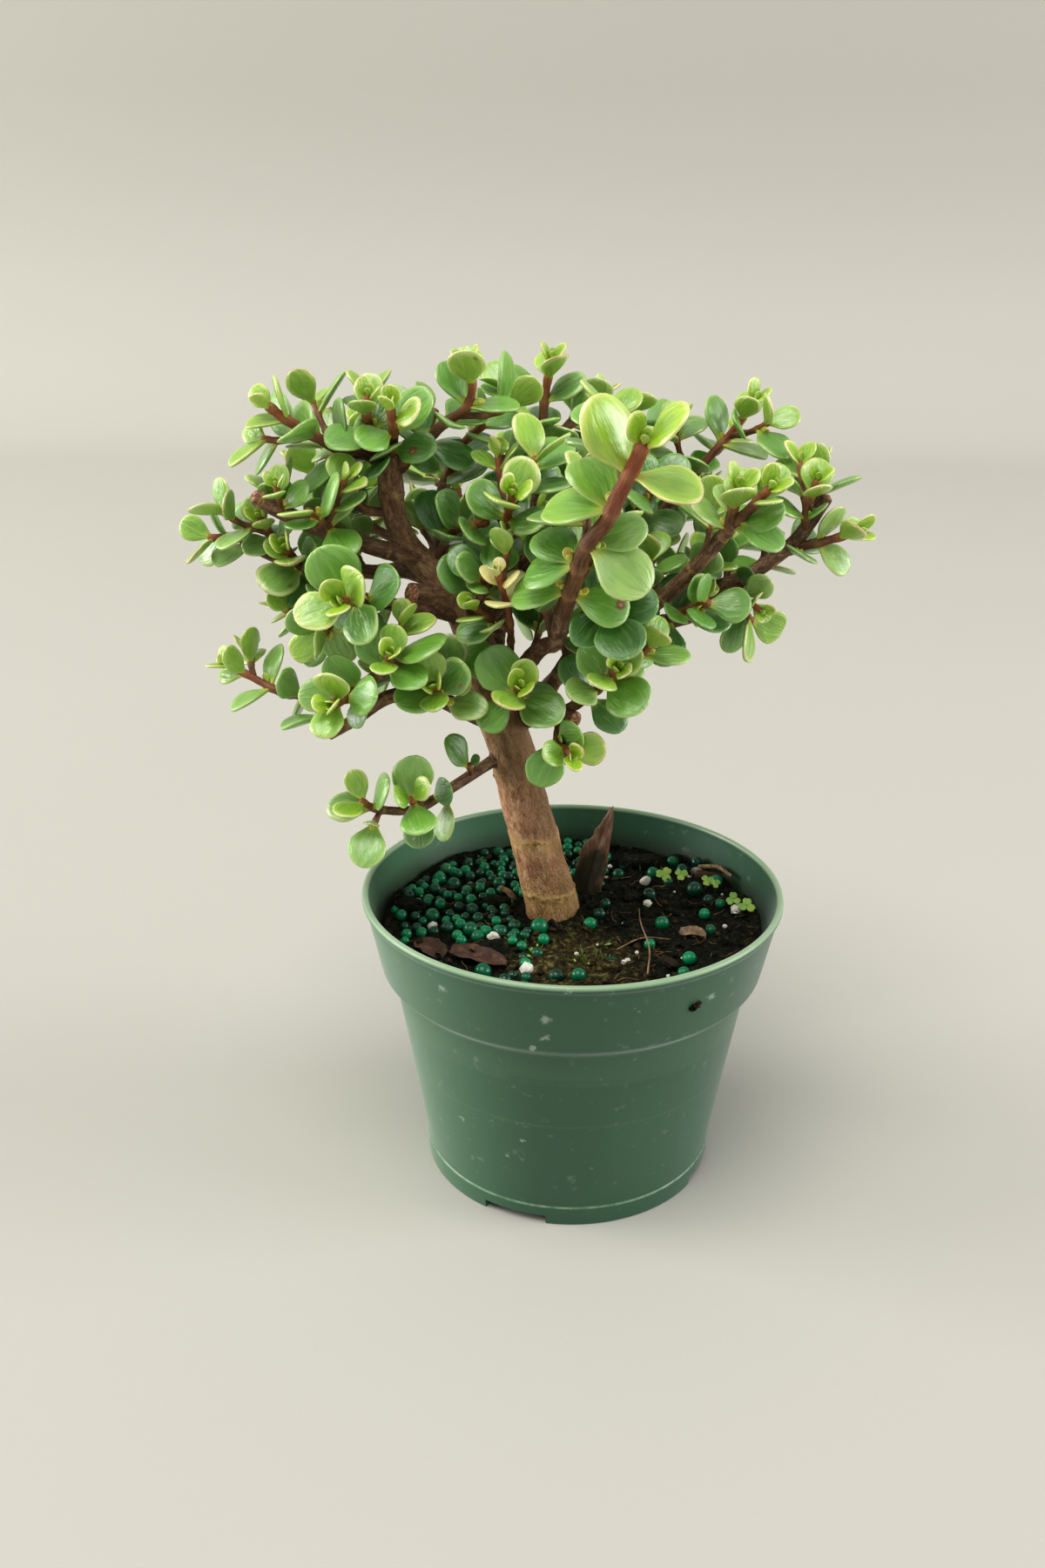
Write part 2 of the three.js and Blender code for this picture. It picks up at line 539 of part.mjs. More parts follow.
// A thick leaf with six corners in its outline: the root sunk in the stem, two on each side, and the tip.
// It has one crest above and a flat underside.
function leafSolid(leaf) {
  const side = (way) => LEAF_CORNERS.map((u) => pointOf(leaf, u, way * CORNER_WIDTH * halfWidth(u), -LEAF_BELOW));
  const tip = pointOf(leaf, LEAF_MIDDLE + LEAF_REACH, 0, -LEAF_BELOW);
  const crest = pointOf(leaf, LEAF_CREST, 0, LEAF_ABOVE);
  const outline = [leaf.root, ...side(1), tip, ...side(-1).reverse(), crest];
  const upper = [0, 1, 2, 3, 4, 5].map((i) => [6, (i + 1) % 6, i]);
  const under = [[0, 1, 5], [1, 2, 5], [2, 4, 5], [2, 3, 4]];
  return solid(geometryOf(outline, [...upper, ...under]));
}

// ---- pot ----

function potProfile() {
  const slope = (FOOT_RADIUS - 0.4 - BODY_TOP_RADIUS) / (FOOT_HEIGHT + 0.4 - BODY_TOP);
  const inside = BODY_TOP_RADIUS - WALL;
  return [
    [0, 0],
    [PAD_RADIUS, 0],
    [PAD_RADIUS + 1.5, FLOOR_BELOW],
    [FOOT_RADIUS - 2.2, FLOOR_BELOW],
    [FOOT_RADIUS - 1.9, 0],
    [FOOT_RADIUS - 0.2, 0],
    [FOOT_RADIUS, FOOT_HEIGHT],
    [FOOT_RADIUS - 0.4, FOOT_HEIGHT + 0.4],
    [BODY_TOP_RADIUS, BODY_TOP],
    [BODY_TOP_RADIUS + SHOULDER, BAND_BOTTOM],
    [RIM_RADIUS - 1.2, BAND_TOP],
    [RIM_RADIUS, BAND_TOP + 1.4],
    [RIM_RADIUS - 0.5, POT_HEIGHT],
    [RIM_RADIUS - LIP + 0.3, POT_HEIGHT],
    [RIM_RADIUS - LIP, BAND_TOP + 1],
    [BODY_TOP_RADIUS + SHOULDER - WALL, BAND_BOTTOM],
    [inside, BODY_TOP + 0.4],
    [inside + slope * (FLOOR_TOP - BODY_TOP), FLOOR_TOP],
    [0, FLOOR_TOP],
  ];
}

// A block over part of a ring, upright between two heights.
function ringBlock(inner, outer, middle, width, low, high) {
  const from = radians(middle - width / 2);
  const to = radians(middle + width / 2);
  const outline = new THREE.Shape();
  outline.absarc(0, 0, outer, from, to, false);
  outline.absarc(0, 0, inner, to, from, true);
  outline.closePath();
  const block = new THREE.ExtrudeGeometry(outline, { depth: high - low, bevelEnabled: false, curveSegments: 3 });
  return solid(block.translate(0, 0, low));
}

function potSolid() {
  const profile = potProfile().map(([radius, height]) => new THREE.Vector2(radius, height));
  const turned = new THREE.LatheGeometry(profile, POT_SIDES).rotateX(Math.PI / 2);
  let pot = solid(turned);
  for (let i = 0; i < NOTCHES; i++) {
    const middle = FIRST_NOTCH + (360 / NOTCHES) * i;
    const notch = ringBlock(FOOT_RADIUS - 4, FOOT_RADIUS + 4, middle, NOTCH_WIDTH, -1, NOTCH_HEIGHT);
    const drain = ringBlock(FOOT_RADIUS - 9, FOOT_RADIUS - 3.6, middle, NOTCH_WIDTH - 5, -1, FLOOR_TOP + 1);
    pot = pot.subtract(notch).subtract(drain);
  }
  return pot;
}

// ---- soil ----

function soilHeight(x, y) {
  const mound = 1.6 * Math.exp(-((x - TRUNK_FOOT.x) ** 2 + (y - TRUNK_FOOT.y) ** 2) / 300);
  const swell = 1.1 * Math.sin(0.11 * x + 0.7) * Math.cos(0.13 * y - 0.4);
  return SOIL_LEVEL + mound + swell + 0.5 * Math.sin(0.23 * x - 0.31 * y);
}

function soilBed() {
  const edge = RIM_RADIUS - LIP - (BAND_TOP + 1 - SOIL_LEVEL) * 0.303 - 3 * CLEARANCE;
  const inside = BODY_TOP_RADIUS - WALL - CLEARANCE;
  const taper = (BODY_TOP_RADIUS - FOOT_RADIUS + 0.4) / (BODY_TOP - FOOT_HEIGHT - 0.4);
  const ring = (radius, height) =>
    Array.from({ length: POT_SIDES }, (unused, i) => {
      const angle = Math.PI / 2 - (2 * Math.PI * i) / POT_SIDES;
      const x = radius * Math.cos(angle);
      const y = radius * Math.sin(angle);
      return new THREE.Vector3(x, y, height === null ? soilHeight(x, y) : height);
    });
  const rings = [
    ...[20, 40, edge].map((radius) => ring(radius, null)),
    ring(BODY_TOP_RADIUS + SHOULDER - WALL - CLEARANCE - 0.1, BAND_BOTTOM + 0.2),
    ring(inside - 0.1, BODY_TOP + 0.2),
    ring(inside - taper * (BODY_TOP - FLOOR_TOP - CLEARANCE) - 0.2, FLOOR_TOP + CLEARANCE),
  ];
  const top = new THREE.Vector3(0, 0, soilHeight(0, 0));
  return solid(overRings(rings, top, new THREE.Vector3(0, 0, FLOOR_TOP + CLEARANCE)));
}

function bead(x, y, radius) {
  const shape = new THREE.OctahedronGeometry(radius, 0).rotateZ(x).rotateX(y);
  return solid(shape.translate(x, y, soilHeight(x, y) + 0.2 * radius));
}

// Whether a bead would be clear of the trunk, the pot's wall and the dead leaves.
function isFree(x, y, radius) {
  const clearOf = (place) => Math.hypot(x - place.x, y - place.y) > place.radius + radius;
  const lying = FALLEN.map(([, across, deep, length]) => ({ x: across, y: deep, radius: length / 2 + 2 }));
  return Math.hypot(x, y) < BARE - radius && [TRUNK_FOOT, SHARD_FOOT, ...lying].every(clearOf);
}

function beads() {
  const draw = draws(PRILL_SEED);
  const placed = PERLITE.filter(([x, y, radius]) => isFree(x, y, radius));
  const perlite = placed.length;
  while (placed.length < perlite + PRILLS) {
    const angle = 2 * Math.PI * draw();
    const distance = 57 * Math.sqrt(draw());
    const radius = PRILL_RADIUS * (0.8 + 0.45 * draw());
    const x = distance * Math.cos(angle);
    const y = distance * Math.sin(angle);
    const wanted = x < -12 ? 1 : 0.3; // most beads lie on the left
    if (draw() > wanted || !isFree(x, y, radius)) continue;
    if (placed.some(([u, v, other]) => Math.hypot(x - u, y - v) < radius + other + 0.5)) continue;
    placed.push([x, y, radius]);
  }
  return placed.map(([x, y, radius]) => bead(x, y, radius));
}

// ---- dead leaves ----

function shardSolid(grown) {
  const rings = SHARD.map(([x, y, z, width]) => {
    const half = width / 2 + grown;
    const thick = SHARD_THICKNESS / 2 + grown;
    const corners = [[-half, -thick], [half, -thick], [half, thick], [-half, thick]];
    return corners.map(([across, deep]) => new THREE.Vector3(x + across, y + deep + 0.25 * across, z));
  });
  const [low, high] = [SHARD[0], SHARD[SHARD.length - 1]];
  const foot = new THREE.Vector3(low[0], low[1], low[2] - 0.5 - grown);
  const tip = new THREE.Vector3(high[0], high[1], high[2] + 0.5 + grown);
  return solid(overRings(rings, foot, tip));
}

// A dry leaf that follows the soil below it.
function fallenSolid(middleX, middleY, length, width, turn) {
  const outline = [[-0.5, 0], [-0.2, 0.42], [0.2, 0.5], [0.5, 0.05], [0.22, -0.45], [-0.24, -0.4]];
  const place = (u, v, lift) => {
    const x = middleX + length * u * Math.cos(radians(turn)) - width * v * Math.sin(radians(turn));
    const y = middleY + length * u * Math.sin(radians(turn)) + width * v * Math.cos(radians(turn));
    return new THREE.Vector3(x, y, soilHeight(x, y) + 0.8 + lift + 3 * v * v);
  };
  const rings = [0, FALLEN_THICKNESS].map((lift) => outline.map(([u, v]) => place(u, -v, lift)));
  return solid(overRings(rings, place(0, 0, 0), place(0, 0, FALLEN_THICKNESS)));
}

// ---- the whole plant in its pot ----

const plain = (color, roughness) => new THREE.MeshStandardMaterial({ color, roughness, metalness: 0 });
const bonsai = new THREE.Group();
const middle = new THREE.Vector3(0, 0, 0);
const wood = woodSolid(0);
const aroundWood = woodSolid(CLEARANCE);

bonsai.add(meshOf(potSolid(), "pot", plain(0x4a6f53, 0.45), middle));

let soil = joined([soilBed(), ...beads()]);
soil = largest(soil.subtract(aroundWood).subtract(shardSolid(CLEARANCE)));
bonsai.add(meshOf(soil, "soil", plain(0x2a221b, 0.95), middle));

const plant = new THREE.Group();
plant.add(meshOf(wood, "trunk", plain(0x7a6350, 0.85), vector(LIMBS.trunk[0][0])));

const leaves = growLeaves();
for (const name of new Set(STEMS.map((stem) => stem[0]))) {
  const own = STEMS.filter((stem) => stem[0] === name);
  const stems = own.map(([, points, thick, thin]) =>
    limbSolid(centreLine(points), [thick, thin], STEM_SIDES, STEPS, 0),
  );
  const blades = leaves.filter((leaf) => leaf.node === name).map(leafSolid);
  const spray = largest(joined([...stems, ...blades]).subtract(aroundWood));
  plant.add(meshOf(spray, name, plain(0x6f9a4c, 0.4), vector(own[0][1][0])));
}
bonsai.add(plant);

const litter = new THREE.Group();
litter.add(meshOf(shardSolid(0), "dead_leaf_upright", plain(0x5a4334, 0.9), vector(SHARD[0])));
for (const [name, x, y, length, width, turn] of FALLEN) {
  const lying = fallenSolid(x, y, length, width, turn);
  litter.add(meshOf(lying, name, plain(0x5b4032, 0.9), new THREE.Vector3(x, y, SOIL_LEVEL)));
}
bonsai.add(litter);

export default bonsai;
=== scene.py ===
"""Looks of a small variegated dwarf jade bonsai in its green nursery pot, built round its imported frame.

Sizes are in millimetres until a mesh is made. The stems, limbs and leaves repeat the frame's own rule, so
each finer piece grows where its solid is.
"""
import math

import bpy
import numpy as np
from mathutils import Matrix, Vector, noise


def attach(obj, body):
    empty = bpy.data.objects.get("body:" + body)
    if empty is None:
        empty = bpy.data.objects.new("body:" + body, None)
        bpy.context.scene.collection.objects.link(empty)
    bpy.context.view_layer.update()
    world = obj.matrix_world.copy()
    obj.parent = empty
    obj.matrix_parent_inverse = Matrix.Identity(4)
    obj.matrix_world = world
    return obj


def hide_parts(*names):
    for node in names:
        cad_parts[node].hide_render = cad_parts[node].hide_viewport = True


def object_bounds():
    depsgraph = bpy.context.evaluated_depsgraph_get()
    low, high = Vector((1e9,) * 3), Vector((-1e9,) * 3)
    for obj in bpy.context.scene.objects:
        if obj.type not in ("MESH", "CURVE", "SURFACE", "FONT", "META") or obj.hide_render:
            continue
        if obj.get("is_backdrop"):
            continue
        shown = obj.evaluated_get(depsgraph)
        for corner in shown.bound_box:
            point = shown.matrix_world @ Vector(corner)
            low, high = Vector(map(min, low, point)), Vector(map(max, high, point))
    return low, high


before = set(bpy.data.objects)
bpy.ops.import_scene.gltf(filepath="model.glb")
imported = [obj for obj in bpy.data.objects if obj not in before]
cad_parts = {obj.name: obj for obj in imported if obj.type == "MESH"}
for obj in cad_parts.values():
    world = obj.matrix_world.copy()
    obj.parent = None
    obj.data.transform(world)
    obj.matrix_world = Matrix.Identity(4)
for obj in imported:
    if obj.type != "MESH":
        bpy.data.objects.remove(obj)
cad_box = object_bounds()
LOW, HIGH = (np.array(corner) * 1000 for corner in cad_box)

# ---- sizes and tables: the solids' own, with those of the short shoots that only this script has ----

POT_HEIGHT = 96.0
RIM_RADIUS = 67.1
LIP = 2.4
WALL = 1.3
BAND_TOP = 93.0
BAND_BOTTOM = 71.4
SHOULDER = 4.0
BODY_TOP_RADIUS = 57.4
BODY_TOP = 68.0
FOOT_RADIUS = 47.6
FOOT_HEIGHT = 6.4
FLOOR_TOP = 6.2
FLOOR_BELOW = 4.8
PAD_RADIUS = 16.5
NOTCHES = 4
NOTCH_WIDTH = 25.0
NOTCH_HEIGHT = 3.0
FIRST_NOTCH = -110.0

SOIL_LEVEL = 84.0
PRILLS = 36
PRILL_RADIUS = 2.1
PRILL_SEED = 4242
BARE = 58.5
TRUNK_FOOT = (-7.0, 3.0, 12.5)
SHARD_FOOT = (5.0, 17.0, 8.0)
# Middle and radius of each large grain.
PERLITE = [
    (25, 27, 1.9), (25, 10, 1.5), (-44, -9, 1.8), (-24, -18, 1.9), (-13, -36, 2.2), (54, 7, 2.3),
    (43, 35, 2.2),
]
# The upright dead leaf from its foot: a point and the width there.
SHARD = [(5, 17, 77, 7), (5.5, 16.5, 90, 11.5), (8.5, 15, 104, 8.5), (12.5, 14, 117, 1.4)]
# Middle, length, width, turn and tint of each fallen leaf.
FALLEN = {
    "fallen_leaf_left": (-43, -24, 13, 9, -50, 0.5),
    "fallen_leaf_front": (-28, -31, 19, 10, -22, 0.4),
    "fallen_leaf_right": (38, -13, 9, 7, -30, 0.9),
}

LEAF_ROUNDNESS = 0.82
LEAF_MIDDLE = 0.6
LEAF_REACH = 0.42
# From the tip down: how wide each pair opens, and its shares of a grown leaf's length and of the spacing.
SPLAY = [24, 44, 60, 70, 74, 78]
GROWTH = [0.5, 0.8, 1, 1, 1, 1]
SPACING = [0.5, 0.85, 1]
TIP_PAIR = 1.0
TURN_SPREAD = 12
SPLAY_SPREAD = 9
LENGTH_SPREAD = 0.12
ROUNDNESS_SPREAD = 0.07
TWIST_SPREAD = 0.22
FIRST_SEED = 1000
SEED_STEP = 37
LIFT = 0.12
LEAF_GAP = 2.3
SHOOT_SEED = 61
SHOOT_START = 8
SHOOT_SPACING = 8.5
SHOOT_LOWEST = 168
SHOOT_LIMB = 4.5
SHOOT_TURNS = (300, 240, 270, 0, 180)
BARE_LIMBS = (
    "trunk", "limb_up", "limb_left", "limb_right", "limb_mid_right", "limb_far_right", "stub", "front_arch",
)
BARE_TURNS = (300, 240, 270)
SHOOT_MARGIN = 13
SHOOT_RADII = (1.1, 0.8)
FEWEST_LEAVES = 3
SHORT_INDEX = 400
SHOOT_INDEX = 500
DRESS_SEED = 7000
SHOOT_DRESS_SEED = 9000
OWN_GAP = 1.8
SHORT_SHOOTS = [
    ("shoot_by_trunk", [(-32, -8, 135), (-31.5, -9.5, 137.5), (-32, -10.5, 140)], 1.0, 0.8, 1, 6, 0, 12,
     {"age": 3, "pose": [(1, (0, 22, 1.0), (180, 60, 0.4))]}),
    ("shoot_hanging", [(-38, -13, 132.5), (-38.2, -15, 131), (-38.5, -16.5, 129)], 1.0, 0.8, 1, 6, 0, 12,
     {"age": 3, "pose": [(1, (0, 12, 1.0), (180, 60, 0.5))]}),
    ("shoot_low_tip", [(-57, -25, 130.3), (-58, -27, 128.5), (-58.5, -28.5, 127)], 1.0, 0.8, 1, 6, 0, 14,
     {"age": 2, "pose": [(1, (270, 14, 1.0), (90, 50, 0.5))]}),
]
NECK = 0.35
NECK_SAMPLES = 3
MIDDLE_SAMPLE = 4
BARK_GAP = 1.7
LOWEST_LEAF = 100
STEPS = 8
# Places on a leaf, along and across it, that are tested against other leaves and bark.
SAMPLES = [
    (0.32, -0.33), (0.32, 0.33), (0.3, 0), (0.6, -0.5), (0.6, 0), (0.6, 0.5), (0.88, -0.36), (0.88, 0),
    (0.88, 0.36), (1, 0),
]
# How a leaf may give way, tried in turn: more turn, more splay and a share of its length.
BENDS = [
    (0, 0, 1), (16, 0, 1), (-16, 0, 1), (0, -14, 1), (0, 14, 1), (22, -12, 0.94), (-22, -12, 0.94),
    (30, 8, 0.9), (-30, 8, 0.9), (0, -26, 0.88), (38, -16, 0.82), (-38, -16, 0.82), (0, 24, 0.8),
    (50, -10, 0.72), (-50, -10, 0.72),
]

# Points of each limb, and its radii from its foot to its tip.
LIMBS = {
    "trunk": ([(-5, 3, 66), (-6, 3, 85), (-10.5, 3, 103), (-15, 2, 122), (-19, 1, 139), (-24, 1, 154),
         (-28, 1, 167), (-32, 1, 179), (-36, 1, 187), (-42, 0, 196)],
        [9.6, 8.8, 7.9, 7.4, 7.1, 6.7, 6.2, 5.4, 4.8, 4.3]),
    "limb_up": ([(-42, 0, 196), (-49, -1, 203), (-53, -2, 212), (-54, -3, 221), (-54, -3, 231)],
        [4.3, 3.9, 3.4, 3.7, 3.1]),
    "limb_left": ([(-47, -2, 201), (-56, -6, 204), (-66, -10, 208), (-75, -13, 212), (-84, -16, 217),
         (-90, -18, 221)],
        [2.8, 2.6, 2.5, 2.4, 2.3, 2.2]),
    "stub": ([(-36, 1, 187), (-43, -4, 190), (-48, -9, 192)], [4, 3.6, 3.2]),
    "limb_front_left": ([(-33, 1, 182), (-42, -5, 186), (-49, -11, 188), (-55, -16, 191), (-62, -22, 194)],
        [2.4, 2.2, 2, 1.9, 1.7]),
    "limb_far_left": ([(-40, 3, 192), (-51, 7, 195), (-61, 9, 194), (-73, 8, 195), (-83, 6, 196),
         (-92, 4, 200), (-99, 2, 204)],
        [2.8, 2.5, 2.3, 2.2, 2, 1.8, 1.5]),
    "limb_low_left": ([(-24, 0, 149), (-35, -8, 157), (-43, -15, 163), (-54, -20, 164), (-64, -24, 158),
         (-71, -26, 154)],
        [2.8, 2.6, 2.4, 2.2, 1.9, 1.6]),
    "limb_mid_left": ([(-29, 0, 171), (-40, -8, 173), (-49, -15, 173), (-57, -22, 171), (-65, -27, 167)],
        [2.2, 2, 1.9, 1.7, 1.5]),
    "limb_lowest": ([(-22, -1, 140), (-32, -8, 135), (-39, -14, 132), (-45, -18, 129), (-51, -22, 129),
         (-58, -26, 131)],
        [2, 1.8, 1.7, 1.5, 1.4, 1.2]),
    "limb_right": ([(-21, 3, 146), (-12, 2, 153), (-8, 0, 160), (-2, -2, 172), (7, -2, 180), (15, 0, 182),
         (23, 2, 181), (33, 4, 183)],
        [2.6, 2.4, 2.2, 2, 2, 2.3, 2.4, 2.4]),
    "limb_far_right": ([(33, 4, 183), (41, 6, 191), (51, 8, 195), (63, 9, 204), (68, 9, 211), (72, 9, 218)],
        [2.4, 2.3, 2.3, 2.2, 2.2, 2.1]),
    "limb_mid_right": ([(14, -1, 182), (17, -4, 185), (24, -8, 191), (31, -12, 199), (37, -15, 207),
         (42, -18, 215)],
        [2.2, 2.4, 2.4, 2.3, 2.1, 1.8]),
    "knob": ([(-14, 2, 151), (-5, -8, 156), (0, -14, 156)], [3.2, 3, 2.4]),
    "limb_front": ([(-22, -1, 160), (-11, -14, 177), (-6, -22, 182), (-4, -31, 193)], [3.2, 2.6, 2.4, 2.4]),
    "limb_top": ([(-30, 1, 174), (-27, 8, 186), (-20, 14, 198), (-14, 18, 210), (-11, 20, 222)],
        [3, 2.8, 2.5, 2.2, 2]),
    "limb_top_left": ([(-41, 2, 195), (-41, 8, 204), (-41, 10, 213), (-40, 12, 220), (-37, 14, 226)],
        [2.6, 2.3, 2.1, 1.9, 1.7]),
    "limb_top_right": ([(-29, 4, 180), (-12, 22, 194), (4, 28, 199), (19, 30, 203), (23, 30, 207)],
        [3, 2.6, 2.3, 2.1, 1.9]),
    "limb_back": ([(-26, 3, 164), (-24, 20, 178), (-19, 38, 190), (-12, 54, 203)], [3.2, 2.7, 2.3, 1.8]),
    "limb_back_left": ([(-44, 4, 194), (-55, 20, 202), (-63, 38, 211)], [2.6, 2.2, 1.7]),
    "limb_back_right": ([(-18, 3, 150), (-2, 16, 164), (14, 32, 178), (24, 50, 190)], [2.8, 2.4, 2.1, 1.7]),
}

